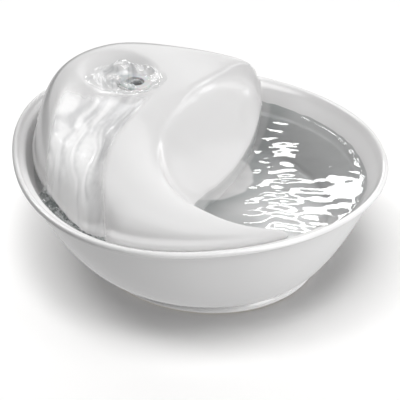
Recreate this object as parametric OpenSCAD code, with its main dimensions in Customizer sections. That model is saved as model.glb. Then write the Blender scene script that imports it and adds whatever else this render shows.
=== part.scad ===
/* [Bowl] */
// Length of the bowl over its lip, blunt end to narrow end
bowl_len = 285; // [270:1:320]
// Width of the bowl over its lip, across the middle
bowl_wid = 275; // [262:1:310]
// How much narrower the drinking end is than the blunt end
taper = 0.143; // [0.05:0.001:0.2]
// Squareness of the outline (2 is an ellipse)
outline_power = 2.17; // [2:0.01:2.6]
// Height of the lip above the floor
rim_h = 90; // [84:1:110]
// Width of the rolled lip
lip_w = 5; // [4:0.1:7]
// How far the lip stands out over the wall
lip_overhang = 4.5; // [2:0.1:6]
// Thickness of the bowl's wall
wall_t = 5.5; // [4.5:0.1:7]
// How fast the wall flares from foot to lip
wall_curve = 0.62; // [0.56:0.01:0.74]
// Radius of the foot
foot_r = 92; // [88:0.5:96]
// Place of the foot's centre along the bowl
foot_x = 8; // [4:0.5:10]
// Height of the foot
foot_h = 5; // [4:0.5:8]
// Step from the foot in to the wall
foot_step = 1.6; // [1.5:0.1:4]
// Width of the unglazed foot ring
foot_ring_w = 12; // [8:0.5:16]
// Depth of the recess inside the foot ring
foot_recess = 4; // [3:0.1:5]
// Height of the bowl's inner floor
floor_h = 12; // [10:0.5:14]
// Height of the ledge that carries the cover
ledge_h = 60; // [56:1:62]
// Width of that ledge
ledge_w = 6; // [5.5:0.1:8]

/* [Cover] */
// Height of the crown above the cover's flange
cover_rise = 53; // [50:0.5:60]
// Drop of the flange below the lip
flange_drop = 2; // [1:0.1:4]
// Thickness of the cover's skirt and walls
cover_t = 5; // [4:0.1:5.4]
// Thickness of the cover's top
crown_t = 6.5; // [5:0.1:8]
// Gap between the skirt and the bowl's wall
skirt_gap = 1.2; // [0.8:0.1:1.6]
// Running clearance at seats and slides
seat_gap = 0.3; // [0.2:0.05:0.5]
// Depth of the pool face below the ledge at its middle
face_drop = 12; // [4:1:16]
// Water level
water_h = 72; // [70:1:76]

/* [Spout] */
// Spout place along the bowl
spout_x = -49; // [-51:0.5:-48]
// Spout place across the bowl
spout_y = 30; // [28:0.5:32]
// Middle of the dish along the bowl
dish_x = -56; // [-58:0.5:-54]
// Height of the dish floor above the flange
dish_rise = 40; // [38:0.5:43]
// Half length of the dish
dish_rx = 32; // [28:1:36]
// Half width of the dish
dish_ry = 27; // [22:1:28]
// Radius of the spout hole in the cover
spout_r = 10; // [9.5:0.1:11]
// Bore of the riser tube
riser_bore = 10.6; // [9.8:0.1:11]
// Wall of the riser tube
riser_t = 1.4; // [1.2:0.1:1.6]

/* [Pump] */
// Width of the pump
pump_w = 40; // [38:1:44]
// Length of the motor housing
motor_l = 44; // [42:1:48]
// Height of the pump
pump_h = 34; // [33:1:38]
// Height of the suction cups
cup_h = 8; // [6:0.5:10]
// Radius of a suction cup
cup_r = 9; // [7:0.5:9.5]
// Radius of the rotor magnet
magnet_r = 7.4; // [6.5:0.1:7.6]
// Length of the rotor magnet
magnet_l = 24; // [20:1:26]
// Radius of the impeller
impeller_r = 9; // [8:0.1:9.6]
// Radius of the fixed shaft
shaft_r = 1.2; // [1:0.1:1.5]
// Depth of the pump chamber
chamber_l = 12; // [11:0.5:14]
// Depth of the intake faceplate
face_l = 9; // [8.5:0.5:12]

/* [Filter] */
// Width of the filter housing
filter_w = 56; // [48:1:58]
// Thickness of the filter housing
filter_t = 14; // [12:0.5:14.5]
// Height of the filter housing
filter_h = 42; // [36:1:42]

/* [Hidden] */
$fn = 64;

half_len = bowl_len / 2;
half_wid = bowl_wid / 2;
flange_z = rim_h - flange_drop;
bowl_steps = 64;
cover_steps = 56;
top_steps = 15;
face_steps = 7;

// ---- shared outline and skin functions ----

function power(v, p) = sign(v) * pow(abs(v), p);
function clamp(v) = min(max(v, 0), 1);
function ease(v) = let (c = clamp(v)) c * c * (3 - 2 * c);

// Point of the lip's outline: a squared ellipse, narrowed towards +X
function outline(a) = [
    half_len * power(cos(a), 2 / outline_power),
    half_wid * power(sin(a), 2 / outline_power) * (1 - taper * cos(a))];

// The same point moved square to the outline, inwards by inset
function egg(a, inset) =
    let (d = outline(a + 0.06) - outline(a - 0.06), n = [d.y, -d.x] / norm(d))
    outline(a) - n * inset;

// Share of the lip's outline at height z; the rest is the foot's circle
function flare(z) = pow(clamp((z - foot_h) / (rim_h - lip_w - foot_h)), wall_curve);

function wall_point(a, z, r, inset) =
    let (w = flare(z), c = [foot_x + r * cos(a), r * sin(a)], p = egg(a, inset))
    [c.x + (p.x - c.x) * w, c.y + (p.y - c.y) * w, z];

// Smaller of two heights, with a soft corner k wide
function soft_min(a, b, k) =
    let (h = clamp(0.5 + 0.5 * (b - a) / k)) b + (a - b) * h - k * h * (1 - h);

// Smooth curve through the values of a list, at place s
function along(list, s) =
    let (
        last = len(list) - 1,
        i = min(floor(s), last - 1),
        f = s - i,
        p1 = list[i],
        p2 = list[i + 1],
        p0 = i > 0 ? list[i - 1] : 2 * p1 - p2,
        p3 = i + 2 <= last ? list[i + 2] : 2 * p2 - p1)
    0.5 * (2 * p1 + (p2 - p0) * f + (2 * p0 - 5 * p1 + 4 * p2 - p3) * f * f
        + (3 * p1 - p0 - 3 * p2 + p3) * f * f * f);

// Closed rings of equal count, skinned in order; flat ends close it
module ring_skin(rings) {
    n = len(rings[0]);
    m = len(rings);
    points = [for (ring = rings) for (p = ring) p];
    sides = [for (j = [0:m - 2]) for (i = [0:n - 1])
        let (k = (i + 1) % n)
        each [[j * n + i, (j + 1) * n + i, (j + 1) * n + k],
            [j * n + i, (j + 1) * n + k, j * n + k]]];
    first = [[for (i = [0:n - 1]) i]];
    last = [[for (i = [0:n - 1]) (m - 1) * n + n - 1 - i]];
    polyhedron(points, concat(first, sides, last), convexity = 10);
}

// ---- bowl ----

wall_foot_r = foot_r - foot_step;
inner_inset = lip_overhang + wall_t;
lip_r = lip_w / 2;
lip_z = rim_h - lip_r;
wall_top = rim_h - lip_w - 1;
pool_foot_r = wall_foot_r - wall_t - 1;
floor_round = 5;

function circle_ring(r, z) =
    [for (i = [0:bowl_steps - 1]) let (a = 360 * i / bowl_steps)
        [foot_x + r * cos(a), r * sin(a), z]];
function wall_ring(z, r, inset) =
    [for (i = [0:bowl_steps - 1]) wall_point(360 * i / bowl_steps, z, r, inset)];
function lip_ring(b) =
    [for (i = [0:bowl_steps - 1])
        let (p = egg(360 * i / bowl_steps, lip_r - lip_r * cos(b)))
        [p.x, p.y, lip_z + lip_r * sin(b)]];
// Ring of the inner floor's rounded corner, b degrees up from flat
function floor_ring(b) =
    let (z = floor_h + floor_round * (1 - cos(b)), in = floor_round * (1 - sin(b)))
    [for (i = [0:bowl_steps - 1])
        let (p = wall_point(360 * i / bowl_steps, floor_h + floor_round, pool_foot_r,
                inner_inset + ledge_w),
            c = [foot_x, 0], d = [p.x, p.y] - c, q = c + d * (1 - in / norm(d)))
        [q.x, q.y, z]];

module bowl() {
    foot_rings = [
        circle_ring(foot_r - foot_ring_w - 1, foot_recess),
        circle_ring(foot_r - foot_ring_w, 0),
        circle_ring(foot_r - 2, 0),
        circle_ring(foot_r - 0.6, 0.7),
        circle_ring(foot_r, 2.4),
        circle_ring(foot_r, foot_h - 1.6),
        circle_ring(foot_r - 1.4, foot_h - 0.3)];
    outer_rings = [for (k = [0:10])
        wall_ring(foot_h + (wall_top - foot_h) * pow(k / 10, 1.5), wall_foot_r, lip_overhang)];
    lip_rings = [for (b = [-45:27:198]) lip_ring(b)];
    inner_rings = [for (k = [0:5])
        wall_ring(wall_top - 1 - (wall_top - 1 - ledge_h) * k / 5, wall_foot_r - wall_t,
            inner_inset)];
    pool_rings = [for (k = [0:6])
        wall_ring(floor_h + floor_round
            + (ledge_h - floor_h - floor_round) * pow(1 - k / 6, 1.3), pool_foot_r,
            inner_inset + ledge_w)];
    floor_rings = [for (b = [60, 30, 0]) floor_ring(b)];
    color("white")
        ring_skin(concat(foot_rings, outer_rings, lip_rings, inner_rings, pool_rings,
            floor_rings));
}

// ---- cover: a hollow wave, lofted over sections from its front tip to its back tip ----

// Where each section starts on the bowl's outline, in degrees
station_angle = [287, 275, 252, 226, 204, 184, 160, 132, 100, 67, 62];
// Ridge in plan, as shares of the bowl's half length and half width
ridge_plan = [[0.303, -0.803], [0.11, -0.765], [-0.05, -0.67], [-0.20, -0.50],
    [-0.255, -0.305], [-0.24, -0.10], [-0.19, 0.035], [-0.04, 0.255], [0.155, 0.51],
    [0.35, 0.70], [0.452, 0.715]];
// Ridge and crown heights over the flange, as shares of cover_rise
ridge_rise = [0.02, 0.03, 0.06, 0.10, 0.19, 0.30, 0.45, 0.60, 0.51, 0.42, 0.12];
crown_rise = [0.03, 0.05, 0.12, 0.29, 0.51, 0.72, 0.96, 0.98, 0.75, 0.45, 0.14];
// How far in from its base each section reaches its crown
shoulder_run = [6, 9, 14, 20, 24, 22, 30, 46, 44, 16, 8];
// Foot of the pool face at the water, in plan, as the ridge is
shore_plan = [[0.308, -0.77], [0.155, -0.70], [0.005, -0.595], [-0.09, -0.415],
    [-0.02, -0.29], [0.075, -0.19], [0.205, 0.0], [0.33, 0.25], [0.415, 0.48],
    [0.466, 0.655], [0.47, 0.685]];
// Extra gap from the bowl's wall to the flange edge, and from there to the dome's base
edge_gap = [0, 0, 0, 7, 9.5, 3.5, 2, 0, 0, 0, 0];
base_run = [0.6, 5, 9, 8, 2, 2.5, 5, 9, 9, 3, 0.6];
// Lift of the skirt's lower edge off the ledge, where the two tips taper
tip_lift = [9, 4, 0, 0, 0, 0, 0, 0, 1, 9, 11];

stations = len(station_angle) - 1;
edge_inset = inner_inset + skirt_gap;
edge_round = 1.2;
dish_z = flange_z + dish_rise;
dish_lip = 7;
exit_y = -0.57 * half_wid;
channel_start_x = dish_x - 6;
channel_lean = 40;
channel_half = 20;
channel_flare = 15;
channel_deep = 8;
exit_deep = 10;
channel_soft = 3;

function dish_height(x, y) =
    dish_z + dish_lip * pow(norm([(x - dish_x) / dish_rx, (y - spout_y) / dish_ry]), 4);

// Depth of the channel that leads from the dish down to the exit
function channel_depth(x, y) =
    let (
        f = clamp((spout_y - y) / (spout_y - exit_y)),
        mid = channel_start_x - channel_lean * (1 - pow(1 - f, 1.8)),
        half = channel_half + channel_flare * pow(1 - f, 1.5),
        n = min(abs(x - mid) / half, 1),
        begin = ease((spout_y + 4 - y) / 24))
    begin * (channel_deep + (exit_deep - channel_deep) * f) * (1 - pow(n, 3));

function plan_at(list, s) = let (p = along(list, s)) [p.x * half_len, p.y * half_wid];
function toward(p, q, d) = let (v = q - p, l = norm(v)) l > 0.01 ? p + v * min(d / l, 0.45) : p;

// Height of the cover's top at share v of a section, with dish and channel cut in
function top_height(s, v, run, p) =
    let (
        crown = cover_rise * along(crown_rise, s),
        ridge = cover_rise * along(ridge_rise, s),
        full = min(max(along(shoulder_run, s) / run, 0.05), 0.9),
        q = 1 - min(v / full, 1),
        rise = sqrt(1 - pow(q, 2.3)),
        knee = max(full * 0.8, 0.45),
        fall = pow(clamp((v - knee) / (1 - knee)), 2),
        z = flange_z + rise * (crown - (crown - ridge) * fall))
    soft_min(z - channel_depth(p.x, p.y), dish_height(p.x, p.y), channel_soft);

// Height of the cover's edge: the flange, or lower where the channel runs out
function edge_height(p) = flange_z - channel_depth(p.x, p.y);

// Lower edges of the skirt and of the pool face, which dips in the middle
function skirt_bottom(s) = ledge_h + seat_gap + along(tip_lift, s);
function face_bottom(s) =
    skirt_bottom(s) - face_drop * ease((s - 2.2) / 1.6) * ease((stations - 1.6 - s) / 1.6);

// Point of the skirt at height z, in from its running gap to the bowl's wall
function skirt_point(a, z, in) =
    wall_point(a, min(z, wall_top), wall_foot_r - wall_t, inner_inset + skirt_gap + in);

// Where the dome starts, clear of the edge also where the edge runs low
function base_point(s, in = 0) =
    let (
        a = along(station_angle, s),
        spread = along(edge_gap, s),
        edge = egg(a, edge_inset + spread),
        high = skirt_point(a, edge_height(edge), spread),
        lean = norm([high.x, high.y] - edge))
    egg(a, edge_inset + spread + max(along(base_run, s), lean + edge_round + 0.6) + in);

// Outer face of one section: skirt, flange, top, ridge and pool face
function outer_path(s) =
    let (
        a = along(station_angle, s),
        spread = along(edge_gap, s),
        low = skirt_bottom(s),
        high_z = edge_height(egg(a, edge_inset + spread)),
        low_p = skirt_point(a, high_z - edge_round, spread + 0.3),
        high_p = skirt_point(a, high_z, spread + edge_round),
        side_z = min(wall_top - 2, high_z - 3),
        base = base_point(s),
        ridge = plan_at(ridge_plan, s),
        shore = plan_at(shore_plan, s),
        ridge_z = flange_z + cover_rise * along(ridge_rise, s),
        run = norm(ridge - base),
        bottom = face_bottom(s))
    concat(
        [for (k = [0, 0.5, 1])
            skirt_point(a, low + (side_z - low) * k, spread)],
        [[low_p.x, low_p.y, high_z - edge_round], [high_p.x, high_p.y, high_z]],
        [for (k = [0:top_steps])
            let (v = pow(k / top_steps, 1.25) * 0.985, p = base + (ridge - base) * v)
            [p.x, p.y, top_height(s, v, run, p)]],
        [for (k = [0:face_steps])
            let (w = max(k / face_steps, 0.045), p = ridge + (shore - ridge) * pow(w, 1.4))
            [p.x, p.y, ridge_z + (water_h - ridge_z) * w]],
        [[shore.x, shore.y, (water_h + bottom) / 2], [shore.x, shore.y, bottom]]);

// How far the hollow's side wall leans in below the flange
wall_lean = 7;

// Share of the hollow that is left: none at the two tips
function hollow(s) = ease((s - 1.3) / 1.1) * ease((stations - 1.1 - s) / 1.1);

// Inner face of the same section, with as many points
function inner_path(s) =
    let (
        a = along(station_angle, s),
        spread = along(edge_gap, s),
        low = skirt_bottom(s),
        bottom = face_bottom(s),
        out_p = skirt_point(a, low, spread),
        out_shore = plan_at(shore_plan, s),
        t = min(cover_t, 0.3 * norm([out_p.x, out_p.y] - out_shore)),
        base = base_point(s, t + max(t * 0.2, wall_lean - along(base_run, s))),
        ridge = toward(plan_at(ridge_plan, s), base, t * 1.5),
        shore = toward(out_shore, base, t * 1.3),
        ridge_z = flange_z + cover_rise * along(ridge_rise, s) - crown_t,
        run = norm(ridge - base),
        top_z = min(wall_top - 4, edge_height(base) - crown_t),
        side = [for (k = [0, 0.5, 1]) skirt_point(a, low + (top_z - low) * k, spread + t)],
        path = concat(
            side,
            [for (k = [0.35, 0.7])
                let (p = [side[2].x, side[2].y] + (base - [side[2].x, side[2].y]) * k)
                [p.x, p.y, top_z + k]],
            [for (k = [0:top_steps])
                let (v = pow(k / top_steps, 1.25), p = base + (ridge - base) * v)
                [p.x, p.y, top_height(s, v, run, p) - crown_t]],
            [for (k = [0:face_steps])
                let (w = max(k / face_steps, 0.045), p = ridge + (shore - ridge) * pow(w, 1.4))
                [p.x, p.y, ridge_z + (water_h - ridge_z) * w]],
            [[shore.x, shore.y, (water_h + bottom) / 2], [shore.x, shore.y, bottom]]),
        last = len(path) - 1,
        open = hollow(s))
    [for (k = [0:last])
        let (
            floor_z = low + (bottom - low) * k / last,
            u = k / last,
            flat = path[0] * pow(1 - u, 2) + [ridge.x, ridge.y, 0] * (2 * u * (1 - u))
                + path[last] * pow(u, 2),
            shut = k == 0 || k == last ? 0 : 0.3)
        [flat.x + (path[k].x - flat.x) * open, flat.y + (path[k].y - flat.y) * open,
            floor_z + shut + (path[k].z - floor_z - shut) * open]];

module wave_shell() {
    sections = [for (i = [0:cover_steps])
        let (s = stations * i / cover_steps, out = outer_path(s), in = inner_path(s), n = len(in))
        concat(out, [for (k = [0:n - 1]) in[n - 1 - k]])];
    n = len(sections[0]);
    h = n / 2;
    m = len(sections);
    points = [for (ring = sections) for (p = ring) p];
    sides = [for (j = [0:m - 2]) for (i = [0:n - 1])
        let (k = (i + 1) % n)
        each [[j * n + i, (j + 1) * n + i, (j + 1) * n + k],
            [j * n + i, (j + 1) * n + k, j * n + k]]];
    caps = [for (i = [0:h - 2])
        each [[i, i + 1, n - 2 - i], [i, n - 2 - i, n - 1 - i],
            [(m - 1) * n + i, (m - 1) * n + n - 2 - i, (m - 1) * n + i + 1],
            [(m - 1) * n + i, (m - 1) * n + n - 1 - i, (m - 1) * n + n - 2 - i]]];
    polyhedron(points, concat(sides, caps), convexity = 10);
}

boss_r = spout_r + 4;
boss_rise = 1.2;
boss_top = dish_z + boss_rise;
boss_h = crown_t + 3;

module cover() {
    color("white")
        difference() {
            union() {
                wave_shell();
                translate([spout_x, spout_y, boss_top - boss_h])
                    cylinder(r = boss_r, h = boss_h);
            }
            translate([spout_x, spout_y, boss_top - boss_h - 20])
                cylinder(r = spout_r, h = boss_h + 40);
        }
}

// ---- spout seal and riser ----

riser_r = riser_bore / 2 + riser_t;
seal_flange_r = spout_r + 2.5;
seal_flange_h = 1.5;
seal_low = boss_top - boss_h - 2.5;
pump_base = floor_h + cup_h;
axis_z = pump_base + pump_h / 2;
outlet_top = pump_base + pump_h + 10;
outlet_bore = riser_bore - 2.6;
riser_low = pump_base + pump_h;
riser_top = boss_top - 1;

module tube(outer, inner, h) {
    difference() {
        cylinder(r = outer, h = h);
        translate([0, 0, -1]) cylinder(r = inner, h = h + 2);
    }
}

module spout_seal() {
    color("lightgray")
        translate([spout_x, spout_y, 0]) {
            difference() {
                union() {
                    translate([0, 0, seal_low]) cylinder(r = spout_r, h = boss_top - seal_low);
                    translate([0, 0, boss_top]) cylinder(r = seal_flange_r, h = seal_flange_h);
                }
                translate([0, 0, seal_low - 1])
                    cylinder(r = riser_r + seat_gap, h = boss_h + 10);
            }
        }
}

module riser_tube() {
    color("lightgray")
        translate([spout_x, spout_y, riser_low])
            tube(riser_r, riser_bore / 2, riser_top - riser_low);
}

// ---- pump ----
// Built along its shaft: local Z is the shaft, pointing at the intake, and -Y is up

outlet_dx = -3;
pump_x = spout_x - outlet_dx;
blade_plane = chamber_l / 2;
pump_y = spout_y - blade_plane;
shell_t = 2;
corner_r = 5;
chamber_r = impeller_r + 2;
chamber_floor = 2.5;
well_r = magnet_r + 0.9;
well_t = 1.2;
well_depth = magnet_l + 6;
cap_t = 2.5;
front_t = 1.6;
cover_plate_t = 1.5;
inlet_r = 6;
bush_r = shaft_r + 1.4;
bush_l = 3;
shaft_clear = 0.06;
seal_cord_r = 0.8;
seal_ring_r = chamber_r + 2 * seal_cord_r;
plate_r = seal_ring_r + 2 * seal_cord_r;
cover_seat = chamber_l;

module along_shaft() {
    translate([pump_x, pump_y, axis_z]) rotate([-90, 0, 0]) children();
}

// Upright rounded rectangle, w by h, extruded
module block(w, h, r, t) {
    linear_extrude(t) {
        square([w - 2 * r, h], center = true);
        square([w, h - 2 * r], center = true);
        for (x = [-1, 1], y = [-1, 1])
            translate([x * (w / 2 - r), y * (h / 2 - r)]) circle(r = r);
    }
}

module pump_housing() {
    color("dimgray")
        along_shaft()
            difference() {
                union() {
                    difference() {
                        translate([0, 0, -motor_l]) block(pump_w, pump_h, corner_r, motor_l);
                        translate([0, 0, -motor_l - 1])
                            block(pump_w - 2 * shell_t, pump_h - 2 * shell_t,
                                corner_r - shell_t, motor_l + 1 - chamber_floor);
                    }
                    translate([0, 0, -well_depth - well_t])
                        cylinder(r = well_r + well_t, h = well_depth + well_t - 1);
                    block(pump_w, pump_h, corner_r, chamber_l);
                    translate([outlet_dx, 0, blade_plane]) rotate([90, 0, 0])
                        cylinder(r = riser_bore / 2, h = outlet_top - axis_z);
                }
                cylinder(r = chamber_r, h = chamber_l + 1);
                translate([0, 0, -well_depth]) cylinder(r = well_r, h = well_depth + 1);
                translate([outlet_dx, 0, blade_plane]) rotate([90, 0, 0])
                    cylinder(r = outlet_bore / 2, h = pump_h);
                translate([0, 0, chamber_l - 2 * seal_cord_r])
                    tube(seal_ring_r + seal_cord_r, seal_ring_r - seal_cord_r, chamber_l);
                for (c = cup_places)
                    translate([c.x - pump_x, pump_h / 2 + 1, c.y - pump_y]) rotate([90, 0, 0])
                        cylinder(r = cup_stem_r, h = 1 + cup_socket);
            }
}

module rear_cap() {
    color("dimgray")
        along_shaft()
            difference() {
                translate([0, 0, -motor_l])
                    block(pump_w - 2 * shell_t, pump_h - 2 * shell_t, corner_r - shell_t, cap_t);
                translate([gland_dx, 0, -motor_l - 1]) cylinder(r = gland_r, h = cap_t + 2);
            }
}

core_w = 32;
core_h = 26;
core_l = 14;
core_z = -well_depth + 6;
coil_w = 9;
coil_t = 3;
coil_over = 3;
coil_x = core_w / 2 - coil_t / 2;

module stator_core() {
    color("silver")
        along_shaft()
            translate([0, 0, core_z])
                difference() {
                    translate([-core_w / 2, -core_h / 2, 0]) cube([core_w, core_h, core_l]);
                    translate([0, 0, -1]) cylinder(r = well_r + well_t, h = core_l + 2);
                    for (side = [-1, 1])
                        translate([side * (coil_x + 1) - coil_t / 2 - 1, -coil_w / 2, -1])
                            cube([coil_t + 2, coil_w, core_l + 2]);
                }
}

// Winding beside the rotor, in a slot of the core; one on each side
module winding(side) {
    translate([side * coil_x - coil_t / 2, -coil_w / 2, core_z - coil_over])
        cube([coil_t, coil_w, core_l + 2 * coil_over]);
}

module stator_coil(side) {
    color("chocolate") along_shaft() winding(side);
}

module potting_resin() {
    color("black")
        along_shaft()
            difference() {
                translate([0, 0, -motor_l + cap_t])
                    block(pump_w - 2 * shell_t, pump_h - 2 * shell_t, corner_r - shell_t,
                        motor_l - cap_t - chamber_floor);
                translate([0, 0, -well_depth - well_t]) cylinder(r = well_r + well_t, h = motor_l);
                translate([-core_w / 2, -core_h / 2, core_z]) cube([core_w, core_h, core_l]);
                for (side = [-1, 1])
                    winding(side);
            }
}

module chamber_seal() {
    color("black")
        along_shaft()
            translate([0, 0, chamber_l - seal_cord_r])
                rotate_extrude() translate([seal_ring_r, 0]) circle(r = seal_cord_r, $fn = 24);
}

// Plate that closes the chamber, with the inlet and the spider for the front bush
module chamber_cover() {
    color("gray")
        along_shaft()
            translate([0, 0, cover_seat])
                difference() {
                    union() {
                        difference() {
                            cylinder(r = plate_r, h = cover_plate_t);
                            translate([0, 0, -1]) cylinder(r = inlet_r, h = cover_plate_t + 2);
                        }
                        for (a = [0, 120, 240])
                            rotate(a) translate([0, -0.8, 0])
                                cube([inlet_r + 1, 1.6, cover_plate_t]);
                        cylinder(r = bush_r + 1, h = cover_plate_t);
                    }
                    translate([0, 0, -1]) cylinder(r = bush_r, h = cover_plate_t + 2);
                }
}

disc_z = 1.2;
disc_t = 1.2;
blade_h = 6;
blade_t = 1.2;
blades = 6;
hub_r = 3.4;

module impeller_wheel() {
    color("gray")
        along_shaft()
            difference() {
                union() {
                    translate([0, 0, disc_z]) cylinder(r = impeller_r, h = disc_t);
                    translate([0, 0, disc_z]) cylinder(r = hub_r, h = disc_t + blade_h);
                    for (i = [0:blades - 1])
                        rotate(i * 360 / blades)
                            translate([hub_r - 1, -blade_t / 2, disc_z])
                                cube([impeller_r - hub_r + 0.6, blade_t, disc_t + blade_h]);
                }
                cylinder(r = shaft_r + shaft_clear, h = disc_z + disc_t + blade_h + 1);
            }
}

module rotor_magnet() {
    color("black")
        along_shaft()
            translate([0, 0, disc_z - magnet_l])
                tube(magnet_r, shaft_r + shaft_clear, magnet_l);
}

shaft_low = -well_depth;
shaft_high = cover_seat + cover_plate_t;

module rotor_shaft() {
    color("ivory")
        along_shaft()
            translate([0, 0, shaft_low]) cylinder(r = shaft_r, h = shaft_high - shaft_low);
}

module front_bush() {
    color("black")
        along_shaft()
            translate([0, 0, cover_seat]) tube(bush_r, shaft_r, cover_plate_t);
}

module rear_bush() {
    color("black")
        along_shaft()
            translate([0, 0, -well_depth]) tube(bush_r, shaft_r, bush_l);
}

// Cap over the intake, with slots behind the flow slider
plate_low = chamber_l + seat_gap;
slot_count = 7;
slot_w = 2;
slot_pitch = 4;
slot_h = 20;
rail_t = 1.5;
slider_w = 14;
slider_h = 9;
slider_t = 1.5;
slider_travel = 8;
slider_rest = -6;
rail_l = slider_w + slider_travel + 6;
rail_gap = slider_h / 2 + seat_gap;

module intake_faceplate() {
    color("dimgray")
        along_shaft()
            translate([0, 0, plate_low]) {
                difference() {
                    block(pump_w, pump_h, corner_r, face_l);
                    translate([0, 0, -1])
                        block(pump_w - 2 * shell_t, pump_h - 2 * shell_t, corner_r - shell_t,
                            face_l + 1 - front_t);
                    for (i = [0:slot_count - 1])
                        translate([(i - (slot_count - 1) / 2) * slot_pitch - slot_w / 2,
                            -slot_h / 2, face_l - front_t - 1])
                            cube([slot_w, slot_h, front_t + 2]);
                }
                for (side = [-1, 1])
                    translate([-rail_l / 2, side * (rail_gap + rail_t / 2) - rail_t / 2, face_l])
                        cube([rail_l, rail_t, slider_t + 0.4 + rail_t]);
                for (side = [-1, 1])
                    translate([-rail_l / 2, side > 0 ? rail_gap - 1 : -rail_gap,
                        face_l + slider_t + 0.4])
                        cube([rail_l, 1, rail_t]);
            }
}

foam_t = face_l - front_t - 3;

module intake_foam() {
    color("slategray")
        along_shaft()
            translate([0, 0, plate_low + face_l - front_t - 0.3 - foam_t])
                block(pump_w - 2 * shell_t - 1, pump_h - 2 * shell_t - 1, corner_r - shell_t,
                    foam_t);
}

module flow_slider() {
    color("lightgray")
        along_shaft()
            translate([slider_rest, 0, plate_low + face_l + 0.2]) {
                translate([-slider_w / 2, -slider_h / 2, 0]) cube([slider_w, slider_h, slider_t]);
                translate([-1, -2.5, slider_t - 0.2]) cube([2, 5, 2.6]);
            }
}

gland_dx = -8;
gland_r = 3.2;

module cord_gland() {
    color("black")
        along_shaft()
            translate([gland_dx, 0, -motor_l]) rotate([180, 0, 0]) {
                translate([0, 0, -cap_t]) cylinder(r = gland_r, h = cap_t);
                cylinder(r = gland_r + 1.4, h = 1.6);
                translate([0, 0, 1.6]) cylinder(r1 = gland_r, r2 = gland_r - 0.9, h = 7);
            }
}

cup_stem_r = 2.4;
cup_socket = 1.6;
cup_dx = pump_w / 2 - 8;
cup_places = [
    [pump_x - cup_dx, pump_y - motor_l + 9],
    [pump_x + cup_dx, pump_y - motor_l + 9],
    [pump_x - cup_dx, pump_y - 4],
    [pump_x + cup_dx, pump_y - 4]];

// Suction cup: a soft bell on a stem that plugs into the pump's base
module suction_cup(i) {
    color("gainsboro")
        translate([cup_places[i].x, cup_places[i].y, floor_h])
            rotate_extrude()
                polygon([[0, 1.2], [cup_r - 3, 0.5], [cup_r - 0.6, 0], [cup_r, 0.4],
                    [cup_r - 2.4, 2.4], [cup_stem_r + 1.6, 4], [cup_stem_r + 1.6, cup_h],
                    [cup_stem_r, cup_h], [cup_stem_r, cup_h + cup_socket - 0.1],
                    [0, cup_h + cup_socket - 0.1]]);
}

// ---- filter ----

filter_x = pump_x + pump_w / 2 + 4 + filter_t / 2;
filter_y = spout_y - 14;
filter_wall = 1.6;
filter_foot = 2;
slot_clear = 0.4;
frame_t = filter_t - 2 * filter_wall - 2 * slot_clear;
frame_w = filter_w - 2 * filter_wall - 2 * slot_clear;
frame_low = floor_h + filter_foot + slot_clear;
frame_h = filter_h - filter_foot - slot_clear;
frame_bar = 3;
fleece_t = 1.4;
pad_w = frame_w - 2 * frame_bar;
pad_h = frame_h - 2 * frame_bar;
pad_low = frame_low + frame_bar;
tab_w = 16;
tab_h = 4;
window_bars = 5;

module filter_windows(w, h, bars) {
    gap = (w - (bars - 1) * 2) / bars;
    for (i = [0:bars - 1])
        translate([-w / 2 + i * (gap + 2), -h / 2]) square([gap, h]);
}

module filter_housing() {
    color("gainsboro")
        translate([filter_x, filter_y, floor_h])
            difference() {
                translate([-filter_t / 2, -filter_w / 2, 0]) cube([filter_t, filter_w, filter_h]);
                translate([-filter_t / 2 + filter_wall, -filter_w / 2 + filter_wall, filter_foot])
                    cube([filter_t - 2 * filter_wall, filter_w - 2 * filter_wall, filter_h]);
                translate([-filter_t, 0, filter_h / 2 + 1]) rotate([90, 0, 90])
                    linear_extrude(2 * filter_t)
                        filter_windows(filter_w - 10, filter_h - 12, window_bars);
            }
}

module frame_box(t, w, h, low) {
    translate([filter_x - t / 2, filter_y - w / 2, low]) cube([t, w, h]);
}

module cartridge_frame() {
    color("white")
        difference() {
            union() {
                frame_box(frame_t, frame_w, frame_h, frame_low);
                frame_box(2, tab_w, tab_h, frame_low + frame_h);
            }
            frame_box(frame_t + 2, pad_w, pad_h, pad_low);
        }
}

// Pouch of fleece around the carbon, open at the top
module filter_fleece() {
    color("whitesmoke")
        difference() {
            frame_box(frame_t, pad_w, pad_h, pad_low);
            frame_box(frame_t - 2 * fleece_t, pad_w - 2 * fleece_t, pad_h, pad_low + fleece_t);
        }
}

module carbon_fill() {
    color("black")
        frame_box(frame_t - 2 * fleece_t, pad_w - 2 * fleece_t, pad_h - fleece_t,
            pad_low + fleece_t);
}

bowl();
cover();
spout_seal();
riser_tube();
pump_housing();
rear_cap();
stator_core();
stator_coil(-1);  // stator_coil_1
stator_coil(1);  // stator_coil_2
potting_resin();
chamber_seal();
chamber_cover();
impeller_wheel();
rotor_magnet();
rotor_shaft();
front_bush();
rear_bush();
intake_faceplate();
intake_foam();
flow_slider();
cord_gland();
suction_cup(0);  // suction_cup_1
suction_cup(1);  // suction_cup_2
suction_cup(2);  // suction_cup_3
suction_cup(3);  // suction_cup_4
filter_housing();
cartridge_frame();
filter_fleece();
carbon_fill();
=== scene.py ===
import math

import bpy
import numpy as np
from mathutils import Matrix, Vector


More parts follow.
